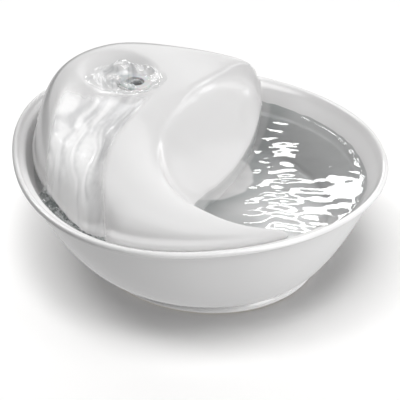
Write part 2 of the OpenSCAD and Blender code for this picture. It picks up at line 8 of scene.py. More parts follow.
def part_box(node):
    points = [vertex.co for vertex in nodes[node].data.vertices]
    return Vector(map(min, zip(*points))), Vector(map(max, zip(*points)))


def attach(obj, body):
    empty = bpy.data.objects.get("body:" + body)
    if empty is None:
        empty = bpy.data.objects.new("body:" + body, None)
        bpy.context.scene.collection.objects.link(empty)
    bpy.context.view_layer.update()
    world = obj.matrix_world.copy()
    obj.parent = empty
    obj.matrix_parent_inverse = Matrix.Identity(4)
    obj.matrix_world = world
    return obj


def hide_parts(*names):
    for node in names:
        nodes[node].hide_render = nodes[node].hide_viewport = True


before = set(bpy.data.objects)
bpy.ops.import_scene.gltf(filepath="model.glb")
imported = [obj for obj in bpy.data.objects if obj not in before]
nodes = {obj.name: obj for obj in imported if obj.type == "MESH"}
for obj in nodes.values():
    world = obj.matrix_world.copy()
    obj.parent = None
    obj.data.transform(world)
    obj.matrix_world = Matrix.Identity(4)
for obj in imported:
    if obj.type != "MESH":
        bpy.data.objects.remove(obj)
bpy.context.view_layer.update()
MM = 0.001  # shapes are worked out in millimetres and turned into metres by this

# ---- camera ----
# A long lens looks down on the fountain from the front left.
# It is turned a little about its own axis.

LOOK_AT = np.array([-0.0130, -0.0738, 0.0900])
LOOK_ALONG = np.array([0.16399, 0.82248, -0.54464])
CAMERA_DISTANCE = 0.803
CAMERA_ROLL = 0.0761
LENS_MM, SENSOR_MM = 102.6, 36.0


def camera_axes(along, roll):
    """Right, up and back vectors of a camera that looks along a direction, turned by roll about it."""
    right = np.cross(along, (0.0, 0.0, 1.0))
    right /= np.linalg.norm(right)
    up = np.cross(right, along)
    c, s = math.cos(roll), math.sin(roll)
    return c * right + s * up, c * up - s * right, -along


camera = bpy.data.objects.new("camera", bpy.data.cameras.new("camera"))
bpy.context.scene.collection.objects.link(camera)
camera.data.lens = LENS_MM
camera.data.sensor_width = SENSOR_MM
turn = Matrix(np.array(camera_axes(LOOK_ALONG, CAMERA_ROLL)).T.tolist()).to_4x4()
camera.matrix_world = Matrix.Translation(Vector(LOOK_AT - LOOK_ALONG * CAMERA_DISTANCE)) @ turn
bpy.context.scene.camera = camera

# ---- glaze ----
# White gloss glaze over fired clay, on the bowl and the cover.
# It pools a little unevenly, so its surface rolls gently and its gloss varies.


def noise_node(tree, vector, scale, detail=2.0, distortion=0.0):
    """A noise texture on a vector socket."""
    node = tree.nodes.new("ShaderNodeTexNoise")
    node.inputs["Scale"].default_value = scale
    node.inputs["Detail"].default_value = detail
    node.inputs["Distortion"].default_value = distortion
    tree.links.new(vector, node.inputs["Vector"])
    return node.outputs["Fac"]


def math_node(tree, operation, a, b):
    """A math node on sockets or numbers."""
    node = tree.nodes.new("ShaderNodeMath")
    node.operation = operation
    for slot, value in enumerate((a, b)):
        if isinstance(value, (int, float)):
            node.inputs[slot].default_value = value
        else:
            tree.links.new(value, node.inputs[slot])
    return node.outputs[0]


def range_node(tree, value, low, high, to_low, to_high):
    """Maps a value from one range to another, clamped."""
    node = tree.nodes.new("ShaderNodeMapRange")
    tree.links.new(value, node.inputs["Value"])
    for label, number in (("From Min", low), ("From Max", high), ("To Min", to_low), ("To Max", to_high)):
        node.inputs[label].default_value = number
    return node.outputs["Result"]


def mix_colour(tree, factor, a, b):
    """Blends two colours, each a socket or a tuple."""
    node = tree.nodes.new("ShaderNodeMix")
    node.data_type = "RGBA"
    for label, value in (("Factor", factor), ("A", a), ("B", b)):
        socket = next(s for s in node.inputs if s.name == label and s.type in ("VALUE", "RGBA") and s.enabled)
        if isinstance(value, (tuple, list)):
            socket.default_value = (*value[:3], 1.0)
        elif isinstance(value, (int, float)):
            socket.default_value = value
        else:
            tree.links.new(value, socket)
    return next(s for s in node.outputs if s.type == "RGBA" and s.enabled)


def object_vector(tree):
    """Object coordinates of the piece."""
    return tree.nodes.new("ShaderNodeTexCoord").outputs["Object"]


def new_material(name, **values):
    """A material with one Principled BSDF, whose sockets take the given plain values."""
    material = bpy.data.materials.new(name)
    material.use_nodes = True
    tree = material.node_tree
    shader = tree.nodes["Principled BSDF"]
    for label, value in values.items():
        shader.inputs[label.replace("_", " ")].default_value = value
    return material, tree, shader


def feed(tree, node, **values):
    """Wires values into a node's inputs, each by its socket's name."""
    for label, value in values.items():
        tree.links.new(value, node.inputs[label.replace("_", " ")])


def add_bump(tree, shader, height, distance, strength):
    """Feeds a height socket to the shader's normal."""
    bump = tree.nodes.new("ShaderNodeBump")
    bump.inputs["Distance"].default_value = distance
    bump.inputs["Strength"].default_value = strength
    feed(tree, bump, Height=height)
    feed(tree, shader, Normal=bump.outputs["Normal"])


GLAZE_TINT, SPECK_TINT, BISQUE = (0.83, 0.825, 0.825), (0.45, 0.44, 0.43), (0.62, 0.58, 0.52)
ROLL_SCALE, GRAIN_SCALE, SPECK_SCALE = 22.0, 900.0, 1500.0
ROLL_DEPTH, ROLL_STRENGTH, GRAIN_SHARE = 0.0009, 0.35, 0.012
ROLL_SHADE, SPECK_SHADE, GLAZE_GLOSS = 0.075, 0.05, (0.18, 0.30)
BARE_Z, GLAZED_Z = 0.0006, 0.0011
glaze, tree, shader = new_material("glaze", IOR=1.5, Coat_Weight=0.3, Coat_Roughness=0.04)
place = object_vector(tree)
slow = noise_node(tree, place, ROLL_SCALE)
fine = noise_node(tree, place, GRAIN_SCALE, 1.0)
specks = range_node(tree, noise_node(tree, place, SPECK_SCALE, 0.0), 0.74, 0.80, 0.0, SPECK_SHADE)
shade = math_node(tree, "ADD", range_node(tree, slow, 0.1, 0.9, 0.0, ROLL_SHADE), specks)
split = tree.nodes.new("ShaderNodeSeparateXYZ")
feed(tree, split, Vector=place)
bare = range_node(tree, split.outputs["Z"], BARE_Z, GLAZED_Z, 1.0, 0.0)
feed(tree, shader, Base_Color=mix_colour(tree, bare, mix_colour(tree, shade, GLAZE_TINT, SPECK_TINT), BISQUE),
     Roughness=range_node(tree, slow, 0.1, 0.9, *GLAZE_GLOSS))
rolling = math_node(tree, "ADD", slow, math_node(tree, "MULTIPLY", fine, GRAIN_SHARE))
add_bump(tree, shader, rolling, ROLL_DEPTH, ROLL_STRENGTH)

# ---- bowl ----
# Slip-cast bowl with an egg-shaped lip, a round stepped foot and a ledge inside, under the cover.
# Its wall flares from the foot's circle to the lip's outline, and all but the foot ring is glazed.

BOWL_LENGTH, BOWL_WIDTH, TAPER, OUTLINE_POWER = 285.0, 275.0, 0.143, 2.17
RIM_H, LIP_W, LIP_OVERHANG, WALL_T, WALL_CURVE = 90.0, 5.0, 4.5, 5.5, 0.62
FOOT_R, FOOT_X, FOOT_H, FOOT_STEP, FOOT_RING_W, FOOT_RECESS = 92.0, 8.0, 6.5, 2.6, 12.0, 4.0
FLOOR_H, LEDGE_H, LEDGE_W, FLOOR_ROUND, WATER_Z = 12.0, 60.0, 6.0, 5.0, 72.0
POOL_START, POOL_END, POOL_FADE, POOL_WIDENING, LEDGE_FADE = -64.0, 54.0, 12.0, 4.0, 0.9
WALL_FOOT_R = FOOT_R - FOOT_STEP
INNER_FOOT_R = WALL_FOOT_R - WALL_T
INNER_INSET = LIP_OVERHANG + WALL_T
LIP_R = LIP_W / 2
WALL_TOP = RIM_H - LIP_W - 1
ROUND_STEPS = 320


def signed_power(value, power):
    """The value raised to a power, keeping its sign."""
    return np.sign(value) * np.abs(value) ** power


def ease(value):
    """Smooth step from 0 to 1."""
    c = np.clip(value, 0.0, 1.0)
    return c * c * (3 - 2 * c)


def lift(plan, z):
    """Joins plan points and their heights, or one height for all of them."""
    return np.concatenate([plan, np.broadcast_to(z, plan.shape[:-1])[..., None]], -1)


def outline(a):
    """Lip's outline at angle a: a squared ellipse whose width shrinks towards +X."""
    x = BOWL_LENGTH / 2 * signed_power(np.cos(a), 2 / OUTLINE_POWER)
    y = BOWL_WIDTH / 2 * signed_power(np.sin(a), 2 / OUTLINE_POWER) * (1 - TAPER * np.cos(a))
    return np.stack([x, y], -1)


def egg(a, inset):
    """The outline moved inwards, square to itself."""
    step = math.radians(0.06)
    d = outline(a + step) - outline(a - step)
    n = np.stack([d[..., 1], -d[..., 0]], -1) / np.linalg.norm(d, axis=-1, keepdims=True)
    return outline(a) - n * np.asarray(inset)[..., None]


def wall_point(a, z, foot_r, inset):
    """Point of a wall at angle a and height z: the foot's circle drawn out to the lip's outline."""
    share = np.clip((z - FOOT_H) / (RIM_H - LIP_W - FOOT_H), 0.0, 1.0) ** WALL_CURVE
    low = np.stack([FOOT_X + foot_r * np.cos(a), foot_r * np.sin(a)], -1)
    return lift(low + (egg(a, inset) - low) * share[..., None], z)


def run_length(path):
    """Length along each polyline in a stack, up to each of its points."""
    step = np.linalg.norm(np.diff(path, axis=1), axis=-1)
    return np.concatenate([np.zeros((len(path), 1)), np.cumsum(step, axis=1)], 1)


def fair(path, reach, samples=9):
    """Rounds every corner of each polyline in a stack by averaging it over a Gaussian of its own length."""
    offsets = np.linspace(-1.9, 1.9, samples)
    weights = np.exp(-offsets ** 2 / 2)
    out = np.zeros_like(path)
    for row, (points, place) in enumerate(zip(path, run_length(path))):
        room = np.minimum(place, place[-1] - place)
        width = np.minimum(reach, room / 1.9)
        for offset, weight in zip(offsets, weights):
            for axis in range(3):
                out[row, :, axis] += weight * np.interp(place + offset * width, place, points[:, axis])
    return out / weights.sum()


def respace(path, counts, marks):
    """Re-samples each stretch between marks of every polyline evenly along its length."""
    parts = []
    for count, start, stop in zip(counts, marks[:-1], marks[1:]):
        piece = path[:, start:stop + 1]
        share = np.linspace(0, 1, count, endpoint=False)
        rows = [np.stack([np.interp(share * place[-1], place, points[:, axis]) for axis in range(3)], -1)
                for points, place in zip(piece, run_length(piece))]
        parts.append(np.stack(rows))
    return np.concatenate([*parts, path[:, -1:]], 1)


def add_mesh(name, points, faces, material, body, closed=True):
    """Makes a smooth mesh piece from points in millimetres and rides it on a body."""
    points = np.asarray(points, float) * MM
    faces = np.asarray(faces)
    if closed:
        a, b, c = (points[faces[:, k]] for k in range(3))
        volume = np.einsum("ij,ij->", a, np.cross(b, c))
        if faces.shape[1] == 4:
            volume += np.einsum("ij,ij->", a, np.cross(c, points[faces[:, 3]]))
        if volume < 0:
            faces = faces[:, ::-1]
    mesh = bpy.data.meshes.new(name)
    mesh.from_pydata(points.tolist(), [], [[v for k, v in enumerate(f) if v != f[k - 1]] for f in faces.tolist()])
    mesh.shade_smooth()
    mesh.materials.append(material)
    piece = bpy.data.objects.new(name, mesh)
    bpy.context.scene.collection.objects.link(piece)
    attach(piece, body)
    return piece


def grid_faces(rows, columns, wrap=True):
    """Quads of a grid of points, with its columns closed into rings or not."""
    i, k = np.meshgrid(np.arange(rows - 1), np.arange(columns if wrap else columns - 1), indexing="ij")
    right = (k + 1) % columns
    corners = [i * columns + k, i * columns + right, (i + 1) * columns + right, (i + 1) * columns + k]
    return np.stack([c.ravel() for c in corners], -1)


def capped_rings(rings):
    """Points and quads of stacked rings, with the first and last closed to their middles."""
    rows, columns = rings.shape[:2]
    points = np.concatenate([rings.reshape(-1, 3), rings[:1].mean(1), rings[-1:].mean(1)])
    k = np.arange(columns)
    right = (k + 1) % columns
    first, last = rows * columns, rows * columns + 1
    top = (rows - 1) * columns
    start = np.stack([right, k, np.full(columns, first), np.full(columns, first)], -1)
    end = np.stack([top + k, top + right, np.full(columns, last), np.full(columns, last)], -1)
    return points, np.concatenate([grid_faces(rows, columns), start, end])


def bowl_profile(a):
    """One radial profile of the bowl for each angle, from under the foot over the lip to the inner floor."""
    def circle(r, z):
        return lift(np.stack([FOOT_X + r * np.cos(a), r * np.sin(a)], -1), z)[:, None]

    def wall(z, foot_r, inset):
        return np.stack([wall_point(a, np.full_like(a, h), foot_r, np.full_like(a, inset)) for h in z], 1)

    ring_r = FOOT_R - FOOT_RING_W
    foot = [circle(r, z) for r, z in (
        (ring_r - 30, FOOT_RECESS), (ring_r - 1, FOOT_RECESS), (ring_r, 0), (FOOT_R - 2, 0), (FOOT_R - 0.6, 0.7),
        (FOOT_R, 2.4), (FOOT_R, FOOT_H - 1.6), (FOOT_R - 1.4, FOOT_H - 0.3))]
    outside = wall(FOOT_H + (WALL_TOP - FOOT_H) * np.linspace(0, 1, 40) ** 1.5, WALL_FOOT_R, LIP_OVERHANG)
    lip = [lift(egg(a, np.full_like(a, LIP_R - LIP_R * math.cos(b))), RIM_H - LIP_R + LIP_R * math.sin(b))[:, None]
           for b in np.radians(np.arange(-45, 187, 12))]
    side = np.degrees((a + math.pi) % (2 * math.pi) - math.pi)
    in_pool = ease((side - POOL_START) / POOL_FADE) * ease((POOL_END - side) / POOL_FADE)
    inside = np.concatenate([
        wall([z], INNER_FOOT_R, INNER_INSET - POOL_WIDENING * in_pool * ease((z - WATER_Z) / 16))
        for z in np.linspace(WALL_TOP + 2, LEDGE_H, 18)], 1)
    pool_z = FLOOR_H + FLOOR_ROUND + (LEDGE_H - FLOOR_H - FLOOR_ROUND) * np.linspace(1, 0, 24) ** 1.3
    pool = wall(pool_z, INNER_FOOT_R - 1, INNER_INSET + LEDGE_W * (1 - LEDGE_FADE * in_pool))
    corner = pool[:, -1, :2]
    away = corner - [FOOT_X, 0]
    inward = away / np.linalg.norm(away, axis=-1, keepdims=True)
    floor = [lift(corner - inward * FLOOR_ROUND * (1 - math.sin(b)), FLOOR_H + FLOOR_ROUND * (1 - math.cos(b)))[:, None]
             for b in np.radians([75, 60, 45, 30, 15, 0])]
    middle = [lift([FOOT_X, 0] + away * share, FLOOR_H)[:, None] for share in (0.7, 0.35)]
    return np.concatenate([*foot, outside, *lip, inside, pool, *floor, *middle], 1)


angles = np.linspace(0, 2 * math.pi, ROUND_STEPS, endpoint=False)
profile = bowl_profile(angles)
profile = fair(respace(profile, [210], [0, profile.shape[1] - 1]), 0.9)
points, faces = capped_rings(profile.transpose(1, 0, 2))
bowl = add_mesh("glazed_bowl", points, faces, glaze, "base")
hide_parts("bowl")

# ---- cover ----
# Slip-cast hollow wave that stands on the bowl's ledge by its skirt.
# It carries the dish with the spout's hole, the channel that leads to the front left, and the pool face.

FLANGE_Z = RIM_H - 2.0
COVER_RISE, COVER_T, CROWN_T, SKIRT_GAP, SEAT_GAP = 53.0, 5.0, 6.5, 1.2, 0.3
FACE_DROP, EDGE_ROUND = 12.0, 1.2
SPOUT = np.array([-49.0, 30.0])
DISH = np.array([-56.0, 30.0])
DISH_Z, DISH_RX, DISH_RY, DISH_LIP, SPOUT_R = FLANGE_Z + 40.0, 32.0, 27.0, 7.0, 10.0

# Values at stations along the wave, from the front arm's tip round the left side to the back arm's tip.
# Angles on the bowl are in degrees, plans in shares of HALF, rises in shares of COVER_RISE, the rest in millimetres.
STATION_ANGLE = np.radians([287, 275, 252, 226, 204, 184, 160, 132, 100, 67, 62])
RIDGE_PLAN = np.array([
    [0.303, -0.803], [0.11, -0.765], [-0.05, -0.67], [-0.20, -0.50], [-0.255, -0.305], [-0.24, -0.10],
    [-0.19, 0.035], [-0.04, 0.255], [0.155, 0.51], [0.35, 0.70], [0.452, 0.715]])
RIDGE_RISE = np.array([0.02, 0.03, 0.06, 0.10, 0.19, 0.30, 0.45, 0.60, 0.51, 0.42, 0.12])
CROWN_RISE = np.array([0.03, 0.05, 0.12, 0.29, 0.51, 0.72, 0.96, 0.98, 0.75, 0.45, 0.14])
SHOULDER_RUN = np.array([6, 9, 14, 20, 24, 22, 30, 46, 44, 16, 8.0])
SHORE_PLAN = np.array([
    [0.308, -0.77], [0.155, -0.70], [0.005, -0.595], [-0.09, -0.415], [-0.02, -0.29], [0.075, -0.19],
    [0.205, 0.0], [0.33, 0.25], [0.415, 0.48], [0.466, 0.655], [0.47, 0.685]])
EDGE_GAP = np.array([0, 0, 0, 7, 9.5, 3.5, 2, 0, 0, 0, 0.0])
BASE_RUN = np.array([0.6, 5, 9, 8, 2, 2.5, 5, 9, 9, 3, 0.6])
TIP_LIFT = np.array([9, 4, 0, 0, 0, 0, 0, 0, 1, 9, 11.0])
LAST = len(STATION_ANGLE) - 1
HALF = np.array([142.5, 138.8])


def along(values, s):
    """Catmull-Rom curve through a list of station values, at places s."""
    values = np.asarray(values, float)
    i = np.clip(np.floor(s).astype(int), 0, LAST - 1)
    f = s - i
    if values.ndim > 1:
        f = f[:, None]
    p1, p2 = values[i], values[i + 1]
    shape = (i > 0)[:, None] if values.ndim > 1 else i > 0
    p0 = np.where(shape, values[np.maximum(i - 1, 0)], 2 * p1 - p2)
    shape = (i + 2 <= LAST)[:, None] if values.ndim > 1 else i + 2 <= LAST
    p3 = np.where(shape, values[np.minimum(i + 2, LAST)], 2 * p2 - p1)
    return 0.5 * (2 * p1 + (p2 - p0) * f + (2 * p0 - 5 * p1 + 4 * p2 - p3) * f ** 2
                  + (3 * p1 - p0 - 3 * p2 + p3) * f ** 3)


def soft_min(a, b, k):
    """Smaller of two heights, with a soft corner k wide."""
    h = np.clip(0.5 + 0.5 * (b - a) / k, 0.0, 1.0)
    return b + (a - b) * h - k * h * (1 - h)


def distance(p, place, wide=1.0, deep=1.0):
    """Distance of plan points from a place, measured in shares of a half width and a half depth."""
    return np.hypot((p[..., 0] - place[0]) / wide, (p[..., 1] - place[1]) / deep)


def dish_height(p):
    """Height of the dish's bowl: its lip times the fourth power of the share of the way to its oval edge."""
    return DISH_Z + DISH_LIP * distance(p, DISH, DISH_RX, DISH_RY) ** 4


def channel_place(p):
    """Share of the way down the channel, and distance from its middle as a share of its half width."""
    f = np.clip((DISH[1] - p[..., 1]) / (DISH[1] + 0.57 * BOWL_WIDTH / 2), 0.0, 1.0)
    mid = DISH[0] - 6 - 40 * (1 - (1 - f) ** 1.8)
    return f, (p[..., 0] - mid) / (20 + 15 * (1 - f) ** 1.5)


def channel_depth(p):
    """Depth of the channel below the wave's own surface."""
    f, n = channel_place(p)
    begin = ease((DISH[1] + 4 - p[..., 1]) / 24)
    begin *= ease((distance(p, SPOUT) - SPOUT_R - 1) / 14)
    return begin * (8 + 2 * f) * (1 - np.minimum(np.abs(n), 1) ** 3)


def top_height(s, v, run, p):
    """Height of the wave's top at share v of a section, with dish and channel sunk in."""
    crown = (COVER_RISE * along(CROWN_RISE, s))[:, None]
    ridge = (COVER_RISE * along(RIDGE_RISE, s))[:, None]
    full = np.clip(along(SHOULDER_RUN, s) / run, 0.05, 0.9)[:, None]
    rise = np.sqrt(1 - (1 - np.minimum(v / full, 1)) ** 2.3)
    knee = np.maximum(full * 0.8, 0.45)
    fall = np.clip((v - knee) / (1 - knee), 0, 1) ** 2
    z = FLANGE_Z + rise * (crown - (crown - ridge) * fall)
    return soft_min(z - channel_depth(p), dish_height(p), 3.0)


def skirt_point(a, z, inwards):
    """Point of the skirt, which follows the bowl's inner wall at a running gap."""
    return wall_point(a, np.minimum(z, WALL_TOP), INNER_FOOT_R, INNER_INSET + SKIRT_GAP + inwards)


def edge_gap(s):
    """Gap the flange leaves to the bowl's wall, opening behind the front arm for the exit."""
    return along(EDGE_GAP, s) * ease((s - 2.55) / 0.5)


def base_point(s, inwards=0.0):
    """Where the dome starts on the flange, clear of the edge also where the edge runs low."""
    a, spread = along(STATION_ANGLE, s), edge_gap(s)
    edge = egg(a, INNER_INSET + SKIRT_GAP + spread)
    high = skirt_point(a, FLANGE_Z - channel_depth(edge), spread)
    lean = np.linalg.norm(high[:, :2] - edge, axis=-1)
    run = np.maximum(along(BASE_RUN, s), lean + EDGE_ROUND + 0.6)
    return egg(a, INNER_INSET + SKIRT_GAP + spread + run + inwards)


TOP_STEPS, FACE_STEPS = 90, 40


def top_rows(s, base, ridge, drop, end):
    """Points of the wave's top from its base to its ridge."""
    v = np.linspace(0, 1, TOP_STEPS)[None] ** 1.25 * end
    p = base[:, None] + (ridge - base)[:, None] * v[..., None]
    run = np.linalg.norm(ridge - base, axis=-1)
    return lift(p, top_height(s, v, run, p) - drop)


def face_rows(ridge, shore, ridge_z):
    """Points of the pool face from the ridge down to the water line."""
    w = np.maximum(np.linspace(0, 1, FACE_STEPS), 0.03)[None]
    p = ridge[:, None] + (shore - ridge)[:, None] * (w ** 1.4)[..., None]
    return lift(p, ridge_z[:, None] + (WATER_Z - ridge_z)[:, None] * w)


def hem_heights(s):
    """Heights of the skirt's foot and of the pool face's hem, which hangs lower away from the two tips."""
    low = LEDGE_H + SEAT_GAP + along(TIP_LIFT, s)
    return low, low - FACE_DROP * ease((s - 2.2) / 1.6) * ease((LAST - 1.6 - s) / 1.6)


def hem_rows(shore, bottom):
    """Points of the hem from the water line down."""
    return np.stack([lift(shore, WATER_Z + (bottom - WATER_Z) * k) for k in np.linspace(0.1, 1, 10)], 1)


def outer_sections(s):
    """Outer face of each section: skirt, flange, top, ridge and pool face."""
    a, spread = along(STATION_ANGLE, s), edge_gap(s)
    low, bottom = hem_heights(s)
    edge_z = FLANGE_Z - channel_depth(egg(a, INNER_INSET + SKIRT_GAP + spread))
    side_z = np.minimum(WALL_TOP - 2, edge_z - 3)
    ridge, shore, base = along(RIDGE_PLAN, s) * HALF, along(SHORE_PLAN, s) * HALF, base_point(s)
    ridge_z = FLANGE_Z + COVER_RISE * along(RIDGE_RISE, s)
    skirt = np.stack([skirt_point(a, low + (side_z - low) * k, spread) for k in np.linspace(0, 1, 8)], 1)
    low_p = skirt_point(a, edge_z - EDGE_ROUND, spread + 0.3)
    high_p = skirt_point(a, edge_z, spread + EDGE_ROUND)
    edge = np.stack([lift(low_p[:, :2], edge_z - EDGE_ROUND), lift(high_p[:, :2], edge_z)], 1)
    return np.concatenate([skirt, edge, top_rows(s, base, ridge, 0.0, 0.985),
                           face_rows(ridge, shore, ridge_z), hem_rows(shore, bottom)], 1)


def inner_sections(s):
    """Inner face of each section, closing to a line at the two tips."""
    a, spread = along(STATION_ANGLE, s), edge_gap(s)
    low, bottom = hem_heights(s)
    out_shore = along(SHORE_PLAN, s) * HALF
    foot = skirt_point(a, low, spread)[:, :2]
    t = np.minimum(COVER_T, 0.3 * np.linalg.norm(foot - out_shore, axis=-1))
    base = base_point(s, t + np.maximum(t * 0.2, 7 - along(BASE_RUN, s)))

    def toward(p, d):
        gap = base - p
        length = np.maximum(np.linalg.norm(gap, axis=-1), 0.01)
        return p + gap * np.minimum(d / length, 0.45)[:, None]

    ridge, shore = toward(along(RIDGE_PLAN, s) * HALF, t * 1.5), toward(out_shore, t * 1.3)
    ridge_z = FLANGE_Z + COVER_RISE * along(RIDGE_RISE, s) - CROWN_T
    top_z = np.minimum(WALL_TOP - 4, FLANGE_Z - channel_depth(base) - CROWN_T)
    side = [skirt_point(a, low + (top_z - low) * k, spread + t) for k in np.linspace(0, 1, 6)]
    turn_in = [lift(side[-1][:, :2] + (base - side[-1][:, :2]) * k, top_z + k) for k in (0.35, 0.7)]
    path = np.concatenate([np.stack(side + turn_in, 1), top_rows(s, base, ridge, CROWN_T, 1.0),
                           face_rows(ridge, shore, ridge_z), hem_rows(shore, bottom)], 1)
    u = np.linspace(0, 1, path.shape[1])[None, :, None]
    open_share = (ease((s - 1.3) / 1.1) * ease((LAST - 1.1 - s) / 1.1))[:, None, None]
    mid = lift(ridge, path[:, 0, 2])[:, None]
    flat = path[:, :1] * (1 - u) ** 2 + mid * 2 * u * (1 - u) + path[:, -1:] * u ** 2
    flat[..., 2] = (low[:, None] + (bottom - low)[:, None] * u[..., 0])
    flat[:, 1:-1, 2] += 0.3
    return flat + (path - flat) * open_share


def rounded_ends(sections, reach, steps=5):
    """Adds shrinking copies of the end sections, so that the two tips end round."""
    def cap(first, second):
        along_axis = first.mean(0) - second.mean(0)
        along_axis /= np.linalg.norm(along_axis)
        inward = first.mean(0) - first
        inward /= np.maximum(np.linalg.norm(inward, axis=-1, keepdims=True), 1.0)
        turns = np.linspace(0, math.pi / 2, steps + 1)[1:]
        return [first + along_axis * reach * math.sin(b) + inward * reach * (1 - math.cos(b)) for b in turns]

    start = cap(sections[0], sections[1])[::-1]
    return np.concatenate([np.stack(start), sections, np.stack(cap(sections[-1], sections[-2]))])


def end_faces(row, columns, half):
    """Quads that close an end ring, pairing its outer and inner halves."""
    i = np.arange(half - 1)
    at = row * columns
    return np.stack([at + i, at + i + 1, at + columns - 2 - i, at + columns - 1 - i], -1)


NOSE_LENGTH, NOSE_TIP = 11.0, 0.9


def pointed_front(sections, edge_index):
    """Draws the first sections in towards the flange's edge, so that the front arm ends in a point.

    A section at distance d from the tip keeps the share sqrt(1 - (1 - d / length)^2) of its size.
    """
    edge = sections[:, edge_index]
    steps = np.linalg.norm(np.diff(edge, axis=0), axis=-1)
    d = np.concatenate([[0.0], np.cumsum(steps)])
    near = np.clip(1 - d / NOSE_LENGTH, 0, 1)
    shrink = NOSE_TIP * (1 - np.sqrt(1 - near ** 2))
    return sections + (edge[:, None] - sections) * shrink[:, None, None]


COVER_ROWS = 330
OUTER_COUNTS, INNER_COUNTS, SECTION_FAIRING, TIP_ROUND = [10, 8, 96, 44, 10], [8, 60, 30, 8], 2.0, 1.6
places = np.linspace(0, LAST, COVER_ROWS)
outer = outer_sections(places)
outer = respace(outer, OUTER_COUNTS, [0, 7, 10, 10 + TOP_STEPS, 10 + TOP_STEPS + FACE_STEPS - 1, outer.shape[1] - 1])
outer = fair(outer, SECTION_FAIRING)
inner = inner_sections(places)
inner = respace(inner, INNER_COUNTS, [0, 7, 8 + TOP_STEPS, 8 + TOP_STEPS + FACE_STEPS - 1, inner.shape[1] - 1])
first, second = inner[:, :1], inner[:, 1:2]
share = np.linspace(0, 1, outer.shape[1] - inner.shape[1] + 1)[None, 1:-1, None]
inner = np.concatenate([first, first + (second - first) * share * 0.9, inner[:, 1:], inner[:, -1:]], 1)
sections = pointed_front(np.concatenate([outer, inner[:, ::-1]], 1), OUTER_COUNTS[0] + OUTER_COUNTS[1] // 2)
rings = rounded_ends(sections, TIP_ROUND)
columns = rings.shape[1]
half_ring = columns // 2
faces = np.concatenate([grid_faces(len(rings), columns), end_faces(0, columns, half_ring)[:, ::-1],
                        end_faces(len(rings) - 1, columns, half_ring)])
cover = add_mesh("glazed_cover", rings.reshape(-1, 3), faces, glaze, "cover")


def cylinder_mesh(name, centre, radius, low, high, steps=96):
    """A closed cylinder for the spout's boss and bore, in millimetres."""
    a = np.linspace(0, 2 * math.pi, steps, endpoint=False)
    ring = np.stack([centre[0] + radius * np.cos(a), centre[1] + radius * np.sin(a)], -1)
    return add_mesh(name, *capped_rings(np.stack([lift(ring, low), lift(ring, high)])), glaze, "cover")


def combine(piece, other, operation):
    """Joins or cuts a piece with another mesh, keeps the result and removes the other."""
    modifier = piece.modifiers.new(operation, "BOOLEAN")
    modifier.operation = operation
    modifier.object = other
    modifier.solver = "MANIFOLD"
    piece.data = bpy.data.meshes.new_from_object(piece.evaluated_get(bpy.context.evaluated_depsgraph_get()))
    piece.modifiers.clear()
    bpy.data.objects.remove(other)


BOSS_TOP = DISH_Z + 1.2
BOSS_H = CROWN_T + 3
combine(cover, cylinder_mesh("boss", SPOUT, SPOUT_R + 4, BOSS_TOP - BOSS_H, BOSS_TOP), "UNION")
combine(cover, cylinder_mesh("bore", SPOUT, SPOUT_R, BOSS_TOP - BOSS_H - 20, BOSS_TOP + 30), "DIFFERENCE")
cover.data.set_sharp_from_angle(angle=math.radians(50))
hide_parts("cover")

# ---- pool water ----
# The bowl is filled to a little under its lip; the water shows grey over the white glaze, a grey tint that is painted
# shade.
# The tint is painted light and shade: darkest by the shore, paler in a painted reflection of the pale face beside it
# and by the front arm, and at a middle level over the face's wet skirt, which shows through; ripples run across it.

DARK_TINT, PAINTED_PALE_TINT = (0.27, 0.30, 0.30), (1.0, 1.0, 1.0)
WATER_IOR, SHORE_SHADE_LEVEL, SHORE_SHADE_LIFT = 1.33, 0.02, 0.25
PALE_PLACE, PALE_R, PAINTED_REFLECTION_LEVEL = (0.0, -10.0), 38.0, 0.70
ARM_PLACE, ARM_R, ARM_PAINTED_LIGHT, SKIRT_PAINTED_SHADE, SKIRT_REACH = (40.0, -85.0), 46.0, 0.30, 0.30, 8.5


def by_attribute(tree, label, low_tint, high_tint):
    """A colour between two tints by the piece's own attribute."""
    node = tree.nodes.new("ShaderNodeAttribute")
    node.attribute_name = label
    return mix_colour(tree, node.outputs["Fac"], low_tint, high_tint)


water, tree, shader = new_material("pool_water", Roughness=0.015, IOR=WATER_IOR, Transmission_Weight=1.0)
# Painted light and shade: the "clear" attribute runs from the dark tint, painted shade, to white, a painted reflection.
feed(tree, shader, Base_Color=by_attribute(tree, "clear", DARK_TINT, PAINTED_PALE_TINT))


def lattice_noise(u, v, seed, size=64):
    """Smooth noise from -1 to 1: random values on a square lattice, eased between its corners."""
    values = np.random.default_rng(seed).uniform(-1, 1, (size, size))
    i, j = np.floor(u).astype(int), np.floor(v).astype(int)
    a, b = ease(u - i), ease(v - j)
    corner = [[values[(i + k) % size, (j + m) % size] for m in (0, 1)] for k in (0, 1)]
    low = corner[0][0] + (corner[0][1] - corner[0][0]) * b
    high = corner[1][0] + (corner[1][1] - corner[1][0]) * b
    return low + (high - low) * a


def ripples(p, seed, steepness, lengths, heading, spread, count=22):
    """Sum of straight waves about one heading, whose slopes together come to the steepness."""
    rng = np.random.default_rng(seed)
    x = p[..., 0] + 3.0 * lattice_noise(p[..., 0] / 21, p[..., 1] / 21, seed)
    y = p[..., 1] + 3.0 * lattice_noise(p[..., 0] / 23, p[..., 1] / 23, seed + 1)
    total = np.zeros(p.shape[:-1])
    for _ in range(count):
        wave = 2 * math.pi / rng.uniform(*lengths)
        turn = heading + rng.normal(0, spread)
        total += np.sin(wave * (x * math.cos(turn) + y * math.sin(turn)) + rng.uniform(0, 2 * math.pi)) / wave
    return total * steepness * math.sqrt(2 / count)


def disc(rings, middle):
    """Points and quads of growing rings, the smallest closed to a middle point."""
    count, steps = rings.shape[:2]
    k = np.arange(steps)
    centre = np.full(steps, count * steps)
    fan = np.stack([(k + 1) % steps, centre, centre, k], -1)
    return np.concatenate([rings.reshape(-1, 3), [middle]]), np.concatenate([grid_faces(count, steps), fan])


